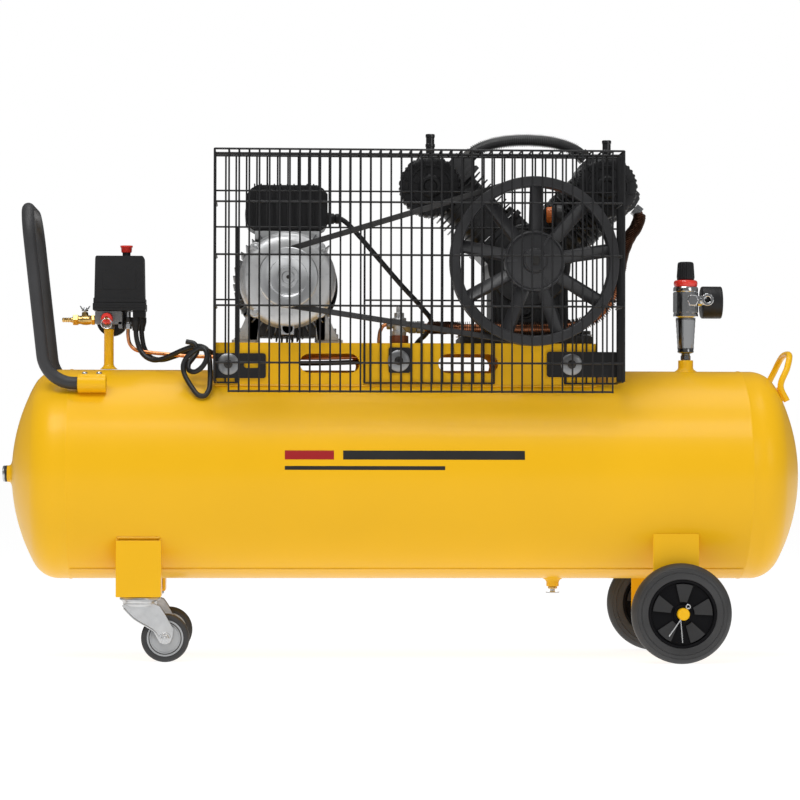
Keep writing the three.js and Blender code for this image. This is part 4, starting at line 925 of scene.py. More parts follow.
# ---------------------------------------------------------------- motor
bell = Shape()
bell.lathe("y", [(11, -94), (11.6, -96), (19, -96.4), (23, -95.6), (25.4, -93.4), (28, -92.4), (52, -91.8),
                 (60, -91), (66, -89.4), (71.4, -86.4), (74.6, -82), (75.4, -77), (75.4, -73), (76.6, -72),
                 (76.6, -66.4), (75.8, -65), (74, -62.6), (64, -62.5), (60, -76), (11, -76), (11, -94)],
           MOTOR_X, MOTOR_Z, ALLOY, 96)
bell.lathe("y", [(32, -92.2), (33, -93.2), (34.6, -93.2), (35.6, -92)], MOTOR_X, MOTOR_Z, ALLOY, 72)
for angle in (45, 135, 225, 315):
    a = radians(angle)
    x, z = MOTOR_X + 72 * cos(a), MOTOR_Z + 72 * sin(a)
    bell.lathe("y", [(0, -84), (7.4, -84), (8.6, -82.8), (8.6, -66), (0, -66)], x, z, ALLOY, 28)
    bell.hexagon("y", -90, -84.2, x, z, 4.6, ZINC)
bell.lathe("y", [(0, -84), (8.8, -84), (10.2, -82.8), (10.2, -64), (0, -64)], MOTOR_X, MOTOR_Z - 76, ALLOY,
           32)
bell.block(MOTOR_X - 10.2, MOTOR_X + 10.2, -84, -64, MOTOR_Z - 86, MOTOR_Z - 72, ALLOY)
bell.build("drive_end_bell", "frame", ["motor_end_bell"], "aluminium", bevel=0.6, crease=30)

PAD_TOP = 677
motor = Shape()
# Painted shade: the motor body and its fins take a darker grey than the end bell's aluminium, standing for
# the shade on the body.
motor.lathe("y", [(50, -61.6), (74, -61.6), (75, -60.6), (75, 118.6), (74, 119.8), (50, 119.8), (50, -61.6)],
            MOTOR_X, MOTOR_Z, GREY, 96)
for k in range(40):
    angle = 360 * (k + 0.5) / 40
    up = 90 - angle
    if abs((up + 180) % 360 - 180) < 33:
        continue
    tall = 86.5 if 20 < (angle % 180) < 160 else 88
    turn = about_y(MOTOR_X, 0, MOTOR_Z, radians(angle))
    outline = [(-60, 74.4), (118, 74.4), (118, tall - 3), (114, tall), (-56, tall), (-60, tall - 3)]
    if MOTOR_Z + tall * cos(radians(angle)) > PAD_TOP:
        continue
    near, far = ([tuple(turn @ Vector((side * (1.3 if z < 80 else 0.95), y, z))) for y, z in outline]
                 for side in (-1, 1))
    motor.prism(near, far, GREY)
for side in (-1, 1):
    near, far = MOTOR_X + side * 47, MOTOR_X + side * 88
    motor.block(min(near, far), max(near, far), -40, 62, 499.5, 505.5, ALLOY)
    for y in (-38, -2, 34, 60):
        web = [(MOTOR_X + side * 48, 504), (MOTOR_X + side * 82, 504), (MOTOR_X + side * 66, 540),
               (MOTOR_X + side * 62, 560), (MOTOR_X + side * 44, 540)]
        motor.slab(web, y - 2, y + 2, ALLOY)
    motor.block(*sorted((MOTOR_X + side * 45, MOTOR_X + side * 60)), -40, 62, 505, 545, ALLOY)
    for y in (-28, 50):
        x = MOTOR_X + side * 74
        motor.lathe("z", [(0, 508), (10.4, 508), (11, 507.4), (11, 505.6), (0, 505.6)], x, y, ZINC, 32)
        motor.rod("z", 508, 524, x, y, 4, ZINC, 20)
        motor.hexagon("z", 508.2, 515, x, y, 7.4, ZINC)
        motor.lathe("z", [(0, 500.6), (13, 500.6), (13, 499.4), (0, 499.4)], x, y, STUD, 24)
motor.block(MOTOR_X - 52, MOTOR_X + 52, -46, 46, 664, 677.6, ALLOY)
# Painted shade: dark thin fins and a dark block between the feet stand for the shadow under the motor body.
for k in range(11):
    x = MOTOR_X - 42 + 8.4 * k
    motor.block(x - 1.4, x + 1.4, -52, 60, 502 + 0.012 * (x - MOTOR_X) ** 2, 536, CAST)
motor.block(MOTOR_X - 44, MOTOR_X + 44, -46, 58, 511, 540, CAST)
motor.build("motor_frame", "frame", ["motor_housing"], "aluminium", bevel=0.5)

SCREW_R = 4
cover = Shape()
cover.lathe("y", [(83.4, 120.5), (84, 121), (84, 172), (83, 178), (79.5, 184), (74, 188), (68, 189.4),
                  (62, 189.8), (62, 187.6), (68, 187), (73, 185.6), (78, 181.6), (81, 176), (81.8, 171),
                  (81.8, 120.5), (83.4, 120.5)], MOTOR_X, MOTOR_Z, PLASTIC, 96)
for radius in (54, 44, 34, 24, 14):
    cover.lathe("y", [(radius - 1.6, 187.4), (radius + 1.6, 187.4), (radius + 1.6, 189.6),
                      (radius - 1.6, 189.6), (radius - 1.6, 187.4)], MOTOR_X, MOTOR_Z, PLASTIC, 64)
cover.rod("y", 187.2, 189.9, MOTOR_X, MOTOR_Z, 8, PLASTIC, 32)
for k in range(8):
    turn = about_y(MOTOR_X, 0, MOTOR_Z, radians(22.5 + 45 * k))
    cover.block(-1.8, 1.8, 187.2, 189.2, 5, 64, PLASTIC, turn)
for k in range(4):
    turn = about_y(MOTOR_X, 0, MOTOR_Z, radians(45 + 90 * k))
    around = [(SCREW_R * cos(t * pi / 4), 130 + SCREW_R * sin(t * pi / 4)) for t in range(8)]
    inner, outer = ([tuple(turn @ Vector((x, y, reach))) for x, y in around] for reach in (83, 86))
    cover.prism(inner, outer, ZINC)
cover.build("fan_cowl", "frame", ["motor_fan_cover"], "black_metal", bevel=0.4)

BOX_X = -184


def box_outline(grow=0.0):
    """Face of the capacitor box: cut corners above, rounded ends below."""
    h = 64 + grow
    return [(BOX_X - h, 690), (BOX_X - h + 4, 683 - grow), (BOX_X - h + 12, 678.4 - grow),
            (BOX_X + h - 12, 678.4 - grow), (BOX_X + h - 4, 683 - grow), (BOX_X + h, 690), (BOX_X + h, 737),
            (BOX_X + h - 7, 746 + grow), (BOX_X + h - 17, 751.4 + grow), (BOX_X - h + 17, 751.4 + grow),
            (BOX_X - h + 7, 746 + grow), (BOX_X - h, 737)]


capacitor = Shape()
capacitor.slab(box_outline(-1.6), -46.4, 46.4, PLASTIC)
capacitor.slab(box_outline(), -40, 40, PLASTIC)
for k in range(11):
    x = BOX_X - 52 + 10.4 * k
    for z0, z1 in ((684, 722), (728, 748.5)):
        capacitor.block(x - 1.1, x + 1.1, -48, -45.6, z0, z1, PLASTIC)
        capacitor.block(x - 1.1, x + 1.1, 45.6, 48, z0, z1, PLASTIC)
    capacitor.block(x - 1.1, x + 1.1, -44, 44, 750, 753, PLASTIC)
for z in (723.4, 727):
    capacitor.block(BOX_X - 62.4, BOX_X + 62.4, -47.8, 47.8, z - 0.8, z + 0.8, PLASTIC)
capacitor.lathe("x", [(5.4, -101), (7.6, -101), (8.2, -102), (8.2, -106), (7, -107.4), (7, -108.6),
                      (8.6, -109.4), (8.6, -116), (9.6, -117), (9.6, -121), (0, -121), (0, -112),
                      (5.4, -111), (5.4, -101)], 0, 701, PLASTIC, 24)
capacitor.build("terminal_box", "frame", ["capacitor_box"], "black_plastic", bevel=0.7)
clip = Shape()
arc = [(-246.5 - 3.4 * sin(i * pi / 12), -30, 724 - 38 * i / 12) for i in range(13)]
for y in (-24, 24):
    clip.tube([(x, y, z) for x, _, z in arc], 1.5, ZINC, 10)
clip.tube([(-246.5, y, 686) for y in range(-24, 25, 4)], 1.5, ZINC, 10)
clip.build("box_clip", "frame", (), "zinc_steel")

# ---------------------------------------------------------------- pump
OIL_Y, OIL_Z = -67, 704


def tilt(side):
    """Leans an upright cylinder's parts over to one side of the V, in metres."""
    return (Matrix.Translation(Vector((PUMP_X, 0, PUMP_Z)) * MM) @ Matrix.Rotation(radians(45 * side), 4,
                                            "Y"))


case = Shape()
case.lathe("y", [(12.3, -62), (20, -64), (24, -63.4), (26, -61), (52, -60), (56, -58), (64, -57.4),
                 (66, -55), (66, -48), (66, 48), (66, 55), (64, 58), (40, 60), (20, 62), (0, 62), (0, 50),
                 (50, 48), (50, -48), (12.3, -50), (12.3, -62)], PUMP_X, PUMP_Z, CAST, 80)
for near, far in ((-65, -60.5), (60.5, 65)):
    for k in range(8):
        a = radians(22.5 + 45 * k)
        case.hexagon("y", near, far, PUMP_X + 58 * cos(a), PUMP_Z + 58 * sin(a), 5, STUD)
body_side = [(PUMP_X - 92, 514), (PUMP_X + 96, 514), (PUMP_X + 84, 522), (PUMP_X + 63, 540),
             (PUMP_X + 62, 606), (PUMP_X - 60, 606), (PUMP_X - 60, 540), (PUMP_X - 80, 522)]
case.slab(body_side, -49, 49, CAST)
case.slab([(90.5, 499.5), (301.5, 499.5), (301.5, 509), (297, 513.4), (95, 513.4), (90.5, 509)], -60, 60,
          CAST)
for k in range(6):
    x = PUMP_X - 50 + 20 * k
    for y in (-52, 49):
        case.block(x - 2, x + 2, y, y + 3, 522, 598, CAST)
for x in (101, 291):
    for y in (-48, 48):
        case.hexagon("z", 513.4, 521, x, y, 8, STUD)
        case.lathe("z", [(0, 515), (11, 515), (11, 513.2), (0, 513.2)], x, y, ZINC, 28)
case.lathe("y", [(0, -52.6), (12, -52.6), (13, -51.6), (13, -48), (0, -48)], PUMP_X - 6, 555, GLASS, 32)
case.lathe("y", [(9, -50), (13, -54), (15, -54), (16, -52), (16, -48), (9, -48), (9, -50)], PUMP_X - 6, 555,
           STUD, 32)
case.lathe("x", [(7.3, 236.4), (13, 236.4), (15, 238), (16, 241), (16, 252), (0, 252), (0, 246), (7.3, 245),
                 (7.3, 236.4)], OIL_Y, OIL_Z, CAST, 28)
case.block(240, 252, -78, -56, 662, 704, CAST)
for side in (-1, 1):
    turn = about_y(PUMP_X, 0, PUMP_Z, radians(45 * side))
    middle = side * 10
    for low, high, half, deep in ((44, 68, 46, 48), (67, 75.6, 50, 50)):
        case.block(-half, -31, -deep, deep, low, high, CAST, turn)
        case.block(31, half, -deep, deep, low, high, CAST, turn)
        case.block(-31, 31, -deep, middle - 31, low, high, CAST, turn)
        case.block(-31, 31, middle + 31, deep, low, high, CAST, turn)
    upright = tilt(side).inverted()
    inside = []
    for face in case.mesh.faces:
        spot = upright @ face.calc_center_median() / MM
        if abs(spot.x) < 29 and abs(spot.y) < 20 and 44 < spot.z < 66.5:
            inside.append(face)
    bmesh.ops.delete(case.mesh, geom=inside, context="FACES")
case.build("pump_case", "frame", ["crankcase"], "black_metal", bevel=1.2)


def finned(side, name, node):
    """A cylinder with thin square fins, drawn upright and then leaned over."""
    shape = Shape()
    y = side * 10
    shape.lathe("z", [(30, 76.4), (40, 76.4), (40, 164.6), (30, 164.6), (30, 76.4)], 0, y, CAST, 64)
    shape.slab([(-46, 76.4), (46, 76.4), (46, 82), (-46, 82)], -46, 46, CAST)
    for x in (-40, 40):
        for across in (-40, 40):
            shape.hexagon("z", 82, 88, x, across, 6, STUD)
    for i in range(9):
        z = 90 + 8.6 * i
        half = 50 - 0.6 * (i % 2)
        loop = round_slot(-half, half, -half, half, 9)
        shape.prism([(a, b, z) for a, b in loop], [(a, b, z + 2.2) for a, b in loop], CAST)
    return shape.build(name, "frame", [node], "black_metal", bevel=0.4, turn=tilt(side))


finned(-1, "barrel_left", "cylinder_left")
finned(1, "barrel_right", "cylinder_right")


def cylinder_head(side, name, node):
    shape = Shape()
    loop = round_slot(-53, 53, -54, 54, 8)
    for z0, z1, grow in ((165.2, 171, 0), (172, 178, -2), (178, 191, -5)):
        size = 1 + grow / 54
        shape.prism(*([(a * size, b * size, z) for a, b in loop] for z in (z0, z1)), CAST)
    shape.block(-52, 52, -53, 53, 171, 172, STUD)
    for k in range(12):
        y = -50 + 100 * k / 11
        outline = [(-53.5, 176), (53.5, 176), (54.5, 184), (50, 200), (42, 205), (-42, 205), (-50, 200),
                   (-54.5, 184)]
        shape.prism(*([(x, y + t, z) for x, z in outline] for t in (-1.3, 1.3)), CAST)
    for x in (-40, 40):
        for y in (-34, 34):
            shape.rod("z", 186, 203, x, y, 8, CAST, 20)
            shape.hexagon("z", 202.6, 208, x, y, 6.4, STUD)
    return shape.build(name, "frame", [node], "black_metal", bevel=0.4, turn=tilt(side))


cylinder_head(-1, "head_casting_left", "head_left")
cylinder_head(1, "head_casting_right", "head_right")


def filter_drum(x, snorkel, name, node):
    shape = Shape()
    z = 747

    def ribs(angle, radius, at):
        """Pleats round the drum's rim."""
        return radius + (0.9 * copysign(1, sin(36 * angle)) if radius > 44 else 0)

    drum = [(0, -85), (9, -85.4), (11, -87.6), (15, -88), (17, -86.6), (19, -84.4), (30, -84), (31, -85.4),
            (34, -85.4), (35, -84), (43, -84), (46, -82.6), (48, -79), (48.4, -76), (48.4, -68), (47, -66.6),
            (48.4, -65), (48.4, -60), (46.6, -58), (40, -57.6), (0, -57.6)]
    shape.lathe("y", drum, x, z, PLASTIC, 144, ripple=ribs)
    for k in range(12):
        turn = about_y(x, 0, z, radians(15 + 30 * k))
        shape.block(-1, 1, -85.6, -83.6, 19, 43, PLASTIC, turn)
    pipe = [(6.8, z + 40), (6.8, snorkel - 21), (7.6, snorkel - 20), (7.6, snorkel - 16),
            (6.6, snorkel - 15), (6.6, snorkel - 6), (7.4, snorkel - 5), (7.4, snorkel - 1), (6.6, snorkel),
            (5, snorkel), (4.8, snorkel - 12), (0, snorkel - 12)]
    shape.lathe("z", pipe, x, -72.8, GLOSSY, 40)
    shape.rod("y", -58.4, -55.4, x, z, 12, STUD, 32)
    shape.build(name, "frame", [node], "black_plastic", crease=30)


filter_drum(41, 830, "air_filter_left", "filter_left")
filter_drum(321, 822, "air_filter_right", "filter_right")

oil = Shape()
oil.lathe("x", [(0, 224.4), (9, 224.4), (11, 225.4), (12.6, 228), (12.6, 233), (13, 234), (13, 235.4),
                (0, 235.6)], OIL_Y, OIL_Z, ORANGE, 40, ripple=lambda angle, radius,
          at: radius - (0.7 if radius > 12 and sin(14 * angle) > 0.2 else 0))
oil.rod("x", 235.4, 243.6, OIL_Y, OIL_Z, 6.9, ORANGE, 28)
oil.build("oil_filler", "frame", ["oil_plug"], "orange_plastic")


FIN_HALF, FIN_SIDES = 0.35, 20


def fin_tube(name, node, points, core, outer, pitch, mats, skip, slot):
    """A bare tube carrying a close pack of thin round fins between its two ends."""
    run = spline(points, 260)
    shape = Shape()
    shape.tube(run, core, mats[0], 14)
    total = length_of(run)
    count = int((total - 2 * skip) / pitch)
    travelled, at = 0.0, 0
    for k in range(count):
        goal = skip + pitch * k
        while at < len(run) - 2 and travelled + (run[at + 1] - run[at]).length < goal:
            travelled += (run[at + 1] - run[at]).length
            at += 1
        step = run[at + 1] - run[at]
        centre = run[at] + step.normalized() * (goal - travelled)
        way = step.normalized()
        side = way.orthogonal().normalized()
        rise = way.cross(side)
        rims = ([], [])
        for rim, lift in zip(rims, (-FIN_HALF, FIN_HALF)):
            for i in range(FIN_SIDES):
                a = 2 * pi * i / FIN_SIDES
                r = outer * (1 + 0.03 * sin(3 * a + k))
                rim.append(tuple(centre + way * lift + side * (r * cos(a)) + rise * (r * sin(a))))
        shape.prism(*rims, mats[1])
    for end, near in ((run[0], run[3]), (run[-1], run[-4])):
        way = (near - end).normalized()
        shape.tube([end, end + way * 12], core + 3.6, mats[2], 6)
    return shape.build(name, "frame", [node], slot)


def head_face(s, side, way):
    face = 55.6
    return PUMP_X + side * (s + way * face) * sqrt(0.5), PUMP_Z + (s - way * face) * sqrt(0.5)


cross_x, cross_z = head_face(190, 1, -1)
half_cross = [(cross_x, 0, cross_z), (cross_x - 12, 0, cross_z + 12), (PUMP_X + 50, 0, 824)]
crossover = [(2 * PUMP_X - x, y, z) for x, y, z in half_cross] + [(PUMP_X, 0, 829)] + half_cross[::-1]
fin_tube("crossover_pipe", "crossover_tube", crossover, 8.4, 10.2, 3.0, (CAST, CAST, STUD), 16, "black_metal")
out_x, out_z = head_face(186, 1, 1)
discharge = [(out_x, -24, out_z), (out_x + 8, -25, out_z - 8), (375, -34, 692), (359, -50, 668),
             (348, -62, 643), (341, -71, 612), (330, -76, 575), (304, -76, 542), (262, -76, 527),
             (210, -76, 524), (130, -76, 524), (80, -70, 524), (52, -50, 525), (36, -40, 526),
             (21.8, -40, 526)]
fin_tube("delivery_pipe", "discharge_tube", discharge, 6.4, 10.2, 3.1, (TUBE, SOOTY, WASHER), 16, "copper")

check = Shape()
check.hexagon("z", 500.6, 512.6, CHECK_X, CHECK_Y, 15, RUST)
check.lathe("z", [(0, 512.4), (10.4, 512.4), (11.4, 513.4), (11.4, 519), (10.2, 520.6), (10.2, 532),
                  (11.4, 534), (11.4, 539.6), (10.6, 540.8), (6, 541)], CHECK_X, CHECK_Y, ALLOY, 40)
check.hexagon("z", 540.8, 549, CHECK_X, CHECK_Y, 8, ALLOY)
check.rod("z", 548, 558, CHECK_X, CHECK_Y, 4.6, ALLOY, 24)
check.lathe("x", [(0, -4), (9, -4), (9.4, 9), (11, 10), (11, 20), (10, 21), (0, 21)], -40, 526, WASHER, 6)
check.lathe("x", [(3.9, -26), (6.6, -26), (7.6, -25), (7.6, -18), (6, -17), (6, -4), (0, -4), (0, -14),
                  (3.9, -15), (3.9, -26)], -40, 530, WASHER, 24)
check.build("check_valve_body", "frame", ["check_valve"], "brass", bevel=0.3)

for node in ("piston_left", "piston_right"):
    keep_cad(node, TURNED, 0.6)

# ---------------------------------------------------------------- pressure switch
RISER_X, BUTTON_X, UNLOAD_X, RELIEF_X, RELIEF_Z = -467.5, -440, -437, -470, 539
TAP_Y, TAP_Z, LEVER_X = -2, 537, -505.5
riser = Shape()
riser.lathe("z", [(0, 458.8), (14, 458.8), (12, 460.6), (9.4, 463), (7.9, 466), (7.7, 469), (7.7, 518),
                  (8, 518.6), (8, 522), (7.2, 522.8), (0, 522.8)], RISER_X, 0, YELLOW, 40)
riser.build("riser", "frame", ["riser_pipe"], "yellow_paint")

block = Shape()
block.slab(round_slot(-489, -446, 530, 550.8, 3), -14, 8.6, GREY)
block.lathe("z", [(0, 523.4), (8.4, 523.4), (9, 524.2), (9, 531), (0, 531)], RISER_X, 0, GREY, 6)
block.slab(round_slot(-452, -446.2, 523.6, 534, 1.5), -14, 8.6, GREY)
block.lathe("y", [(6.5, -12), (10.6, -13.8), (11.4, -13), (11.4, -8)], RELIEF_X, RELIEF_Z, GREY, 32)
block.build("manifold_casting", "frame", ["switch_manifold"], "aluminium", bevel=0.8)

base = Shape()
base.slab(round_slot(-492, -408, 551.5, 563.8, 2), -30, 30, PLASTIC)
base.slab([(-490.4, 556), (-409.6, 556), (-409.6, 559), (-490.4, 559)], -30.8, 30.8, PLASTIC)
base.lathe("y", [(0, 9.2), (24, 9.2), (25, 10), (25, 29), (24, 30), (0, 30)], -463, 537, PLASTIC, 56)
base.slab(round_slot(-429, -409, 541, 552, 1.6), -20, 12, PLASTIC)
for x, y in ((-424.5, -8), (-416, 4)):
    base.lathe("z", [(4.3, 520), (5.2, 520), (6.0, 526), (7.4, 531), (8, 534), (8, 541.4), (4.3, 541.4),
                     (4.3, 520)], x, y, PLASTIC, 28)
base.build("switch_foot", "frame", ["switch_base"], "black_plastic", bevel=0.6)

lid = Shape()
lid.slab([(-490.6, 564.4), (-409.4, 564.4), (-409.4, 571), (-410.4, 572), (-411.6, 634), (-412.2, 637),
          (-414, 638.4), (-486, 638.4), (-487.8, 637), (-488.4, 634), (-489.6, 572), (-490.6, 571)], -28.4,
         28.4, PLASTIC)
lid.slab([(-491, 564.4), (-409, 564.4), (-409, 570.4), (-491, 570.4)], -29.2, 29.2, PLASTIC)
lid.slab(round_slot(-476, -424, 585, 616, 3), -28.9, -28.2, PLASTIC)
lid.lathe("z", [(7.4, 638), (12.4, 638), (12.4, 639), (11.6, 639.6), (8, 639.6), (7.4, 639), (7.4, 630)],
          BUTTON_X, 0, PLASTIC, 32)
lid.build("switch_lid", "frame", ["switch_cover"], "black_plastic", bevel=1.4)

button = Shape()
button.lathe("z", [(0, 622), (6.4, 622), (6.4, 645.4), (0, 645.4)], BUTTON_X, 0, PLASTIC, 24)
button.lathe("z", [(0, 644.8), (7.6, 644.8), (8.4, 646), (8.9, 652.4), (10, 653.6), (10, 656), (8.6, 656),
                   (8, 653.8), (0, 653.4)], BUTTON_X, 0, RED, 40)
button.build("on_off_knob", "switch_button", ["switch_button"], "red_plastic")

unload = Shape()
unload.hexagon("z", 522.4, 532, UNLOAD_X, 0, 6, ZINC)
unload.rod("z", 531, 550.8, UNLOAD_X, 0, 4.2, ZINC, 24)
unload.hexagon("z", 534, 542, UNLOAD_X, 0, 5.6, STUD)
unload.build("unload_fitting", "frame", (), "zinc_steel", bevel=0.3)

relief = Shape()
relief.lathe("y", [(0, -8.6), (5.9, -8.6), (5.9, -14.4), (9.4, -14.6), (9.4, -19), (8.8, -19.8), (8.8, -28),
                   (8, -29.4), (4, -29.8), (3, -29.6), (2.7, -28), (2.7, -20), (0, -20)], RELIEF_X, RELIEF_Z,
             RED, 40, ripple=lambda angle, radius,
             at: radius - (0.5 if 8.5 < radius < 9 and sin(12 * angle) > 0 else 0))
relief.build("relief_valve", "frame", ["safety_valve"], "red_plastic")
ring = Shape()
circle = [(RELIEF_X + 8.2 * sin(2 * pi * i / 40), -33.3, 530.5 + 8.2 * cos(2 * pi * i / 40))
          for i in range(40)]
ring.tube(circle, 0.95, CHROME, 12, closed=True)
ring.lathe("y", [(0, -34.6), (1.5, -34.6), (2, -33.8), (2, -31.6), (1.7, -30.6), (1.7, -21), (0, -21)],
           RELIEF_X, 538.7, BRASS, 24)
ring.build("relief_ring", "safety_pull_ring", ["safety_pull_ring"], "chrome")

tap = Shape()
tap.lathe("x", [(0, -482), (4.8, -482), (4.8, -489.4), (0, -489.4)], TAP_Y, TAP_Z, BRASS, 28)
tap.hexagon("x", -489.4, -495.4, TAP_Y, TAP_Z, 8.8, BRASS)
tap.lathe("x", [(0, -494.6), (6.4, -494.6), (7, -496), (7.8, -499), (8.2, -504), (7.8, -509), (6.8, -512),
                (6.8, -517), (0, -517)], TAP_Y, TAP_Z, BRASS, 40)
tap.hexagon("x", -516, -524.6, TAP_Y, TAP_Z, 9.4, BRASS)
barb = [(0, -524), (4.4, -524), (4.2, -527)]
for k in range(4):
    x = -527 - 3.6 * k
    barb += [(3.0, x - 0.3), (3.95, x - 0.9), (3.3, x - 3.4)]
barb += [(2.9, -541.4), (2.4, -541.9), (2.2, -540), (2.2, -522), (0, -522)]
tap.lathe("x", barb, TAP_Y, TAP_Z, BRASS, 32)
tap.lathe("z", [(0, 540), (5.2, 541), (5.2, 547), (4.6, 549.6), (2.5, 549.8), (2.5, 546)], LEVER_X, TAP_Y,
          BRASS, 28)
tap.build("outlet_tap", "frame", ["outlet_valve"], "brass", bevel=0.3)
arm = Shape()
arm.rod("z", 546.6, 553, LEVER_X, TAP_Y, 2, ZINC, 20)
arm.lathe("z", [(0, 550.6), (4.6, 550.6), (5.2, 551.2), (5.2, 553.4), (0, 553.4)], LEVER_X, TAP_Y, CHROME, 32)
wing_line = [(-514, 559.4), (-512.4, 559.8), (-509.6, 555.6), (-507, 554.6), (-504, 554.6), (-501.4, 555.6),
             (-498.6, 559.8), (-497, 559.4), (-499.6, 554.2), (-502.6, 552.6), (-508.4, 552.6),
             (-511.4, 554.2)]
arm.slab(wing_line, -5, 1, CHROME)
arm.hexagon("z", 554.2, 556.8, LEVER_X, TAP_Y, 3.6, ZINC)
arm.build("tap_lever", "outlet_lever", ["outlet_lever"], "chrome", bevel=0.5)

# ---------------------------------------------------------------- regulator and gauge
reg = Shape()
bowl = [(0, 476.4), (7.6, 476.4), (8, 477), (8, 483), (7, 484), (7, 486), (12.4, 488), (13, 489), (13, 491)]
bowl += [(12.6 + 3.2 * i / 12 + (0.35 if i % 2 else 0), 492 + 52 * i / 12) for i in range(13)]
bowl += [(18.6, 545), (20, 546.4), (20, 550), (19.4, 551), (19.4, 586), (20, 587), (20, 592), (19, 594)]
reg.lathe("z", bowl[:22], REG_X, 0, NICKEL, 64)
reg.lathe("z", bowl[21:] + [(18, 594.4)], REG_X, 0, CHROME, 64)
reg.lathe("z", [(17.4, 594.2), (18.4, 595.6), (19, 598), (19.2, 600), (18.9, 602), (18, 603.9),
                (16.4, 604.8), (5.4, 604.8), (5.4, 594)], REG_X, 0, RED, 64)
for k in range(12):
    a = radians(30 * k)
    turn = Matrix.Translation((REG_X, 0, 0)) @ Matrix.Rotation(a, 4, "Z")
    reg.block(18.6, 20.2, -2.2, 2.2, 553, 585, CHROME, turn)
reg.lathe("x", [(0, 470), (9, 470), (9, 476), (7.2, 477), (7.2, 483.4), (0, 483.4)], 0, 570, CHROME, 32)
reg.block(REG_X, 490, -11.6, -1, 566.4, 579.6, CHROME)
reg.hexagon("y", -21.6, -8, 466.5, 572, 9.6, CHROME)
reg.lathe("y", [(4.8, -8), (4.8, -21.4), (5.6, -22), (9.2, -22), (9.8, -21.4), (9.8, -16), (9, -15.4),
                (9, -14.6), (9.8, -14), (9.8, -4), (0, -4), (0, -9), (4.8, -9)], 490, 573, CHROME, 40)
reg.build("regulator", "frame", ["regulator_body"], "chrome", bevel=0.3, crease=30)

knob = Shape()
knob.lathe("z", [(0, 592.4), (4.9, 592.4), (4.9, 605.2), (13, 605.2), (13.8, 606), (14.4, 610), (13.6, 622),
                 (13, 631), (12, 633.6), (9.6, 634.5), (0, 634.2)], REG_X, 0, PLASTIC, 160,
           ripple=lambda angle, radius, at: radius - (0.9 * max(0.0, sin(22 * angle)) if radius > 11 else 0))
knob.build("pressure_knob", "regulator_knob", ["regulator_knob"], "black_plastic")

GY, GZ = 14, 570
dial = Shape()
dial.lathe("x", [(0, 484.2), (24, 484.2), (25.6, 485.4), (26, 487), (26, 511), (25.8, 512), (26, 513),
                 (26, 515.6), (25.2, 516.8), (23.4, 516.8), (23, 516), (23, 509), (0, 509)], GY, GZ, PLASTIC,
           80)
dial.lathe("x", [(0, 509.3), (22.8, 509.3)], GY, GZ, DIAL, 64)
for k in range(31):
    a = radians(225 - 9 * k)
    long = k % 5 == 0
    inner = 16.5 if long else 18.6
    half = 0.42 if long else 0.22
    c, s = cos(a), sin(a)
    corners = [(509.5, GY + r * c - w * s, GZ + r * s + w * c) for r,
               w in ((inner, -half), (21, -half), (21, half), (inner, half))]
    dial.add(corners, [(0, 1, 2, 3)], STUD)
dial.lathe("x", [(0, 514.8), (22.8, 514.6), (22.8, 515.6), (0, 515.9)], GY, GZ, GLASS, 64)
dial.build("gauge_body", "frame", ["gauge_case"], "black_plastic")
hand = Shape()
hand.lathe("x", [(0, 510), (2.2, 510), (3.4, 510.6), (3.4, 511.6), (0, 512.2)], GY, GZ, STUD, 28)
a = radians(225)
c, s = cos(a), sin(a)
pointer = [(511 + t, GY + r * c - w * s, GZ + r * s + w * c) for t in (0, 0.5) for r,
           w in ((-7, -1.1), (17.5, -0.2), (17.5, 0.2), (-7, 1.1))]
hand.add(pointer, [(3, 2, 1, 0), (4, 5, 6, 7), (0, 1, 5, 4), (1, 2, 6, 5), (2, 3, 7, 6), (3, 0, 4, 7)], RED)
hand.build("gauge_pointer", "gauge_needle", ["gauge_needle"], "red_plastic")

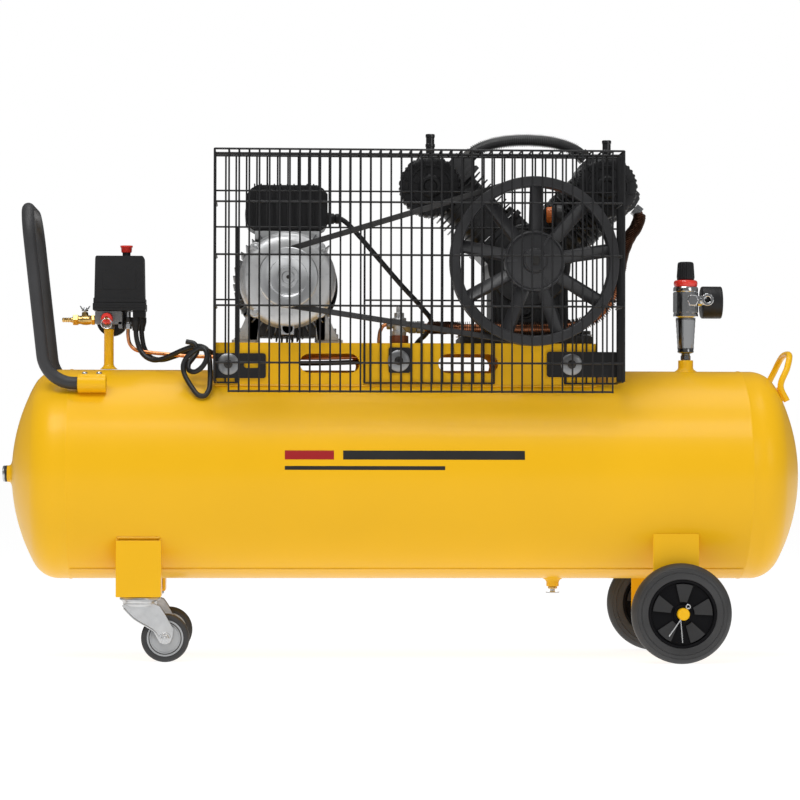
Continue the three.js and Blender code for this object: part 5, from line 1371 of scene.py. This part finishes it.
# ---------------------------------------------------------------- stage
FLOOR_GLOW = 0.88
floor_mesh = bpy.data.meshes.new("floor")
floor_mesh.from_pydata([(-40, -40, 0), (40, -40, 0), (40, 40, 0), (-40, 40, 0)], [], [(0, 1, 2, 3)])
floor = bpy.data.objects.new("floor", floor_mesh)
scene.collection.objects.link(floor)
PALE_FLOOR = surface("pale_floor", (0.25, 0.25, 0.25), 0.85, grain=60, bump=0.02, tint=0.01, blotch=2)
PALE_FLOOR.node_tree.nodes["Principled BSDF"].inputs["Emission Color"].default_value = (1, 1, 1, 1)
PALE_FLOOR.node_tree.nodes["Principled BSDF"].inputs["Emission Strength"].default_value = FLOOR_GLOW
floor_mesh.materials.append(PALE_FLOOR)

scene.view_settings.view_transform = "Standard"
AMBIENT = 0.40
MIRRORED = 0.16
world = bpy.data.worlds.new("studio")
scene.world = world
world.use_nodes = True
nodes, links = world.node_tree.nodes, world.node_tree.links
background = nodes["Background"]
background.inputs["Color"].default_value = (1, 1, 1, 1)
backdrop = nodes.new("ShaderNodeBackground")
path = nodes.new("ShaderNodeLightPath")
either = nodes.new("ShaderNodeMixShader")
background.inputs["Strength"].default_value = AMBIENT
backdrop.inputs["Color"].default_value = (1, 1, 1, 1)
room = nodes.new("ShaderNodeBackground")
room.inputs["Color"].default_value = (1, 1, 1, 1)
room.inputs["Strength"].default_value = MIRRORED
inner = nodes.new("ShaderNodeMixShader")
links.new(path.outputs["Is Glossy Ray"], inner.inputs["Fac"])
links.new(background.outputs["Background"], inner.inputs[1])
links.new(room.outputs["Background"], inner.inputs[2])
links.new(path.outputs["Is Camera Ray"], either.inputs["Fac"])
links.new(inner.outputs["Shader"], either.inputs[1])
links.new(backdrop.outputs["Background"], either.inputs[2])
links.new(either.outputs["Shader"], nodes["World Output"].inputs["Surface"])


def softbox(name, place, aim, width, height, power):
    data = bpy.data.lights.new(name, "AREA")
    data.shape = "RECTANGLE"
    data.size, data.size_y, data.energy = width, height, power
    lamp = bpy.data.objects.new(name, data)
    way = (Vector(aim) - Vector(place)).to_track_quat("-Z", "Y")
    lamp.matrix_world = Matrix.Translation(Vector(place)) @ way.to_matrix().to_4x4()
    scene.collection.objects.link(lamp)


softbox("key", (-0.8, -2.0, 3.2), (0, 0, 0.45), 2.4, 1.2, 62)
softbox("fill", (2.2, -2.6, 1.6), (0, 0, 0.45), 1.2, 1.4, 9)
softbox("top", (0.2, 0.2, 3.2), (0, 0, 0.4), 2.6, 1.2, 28)
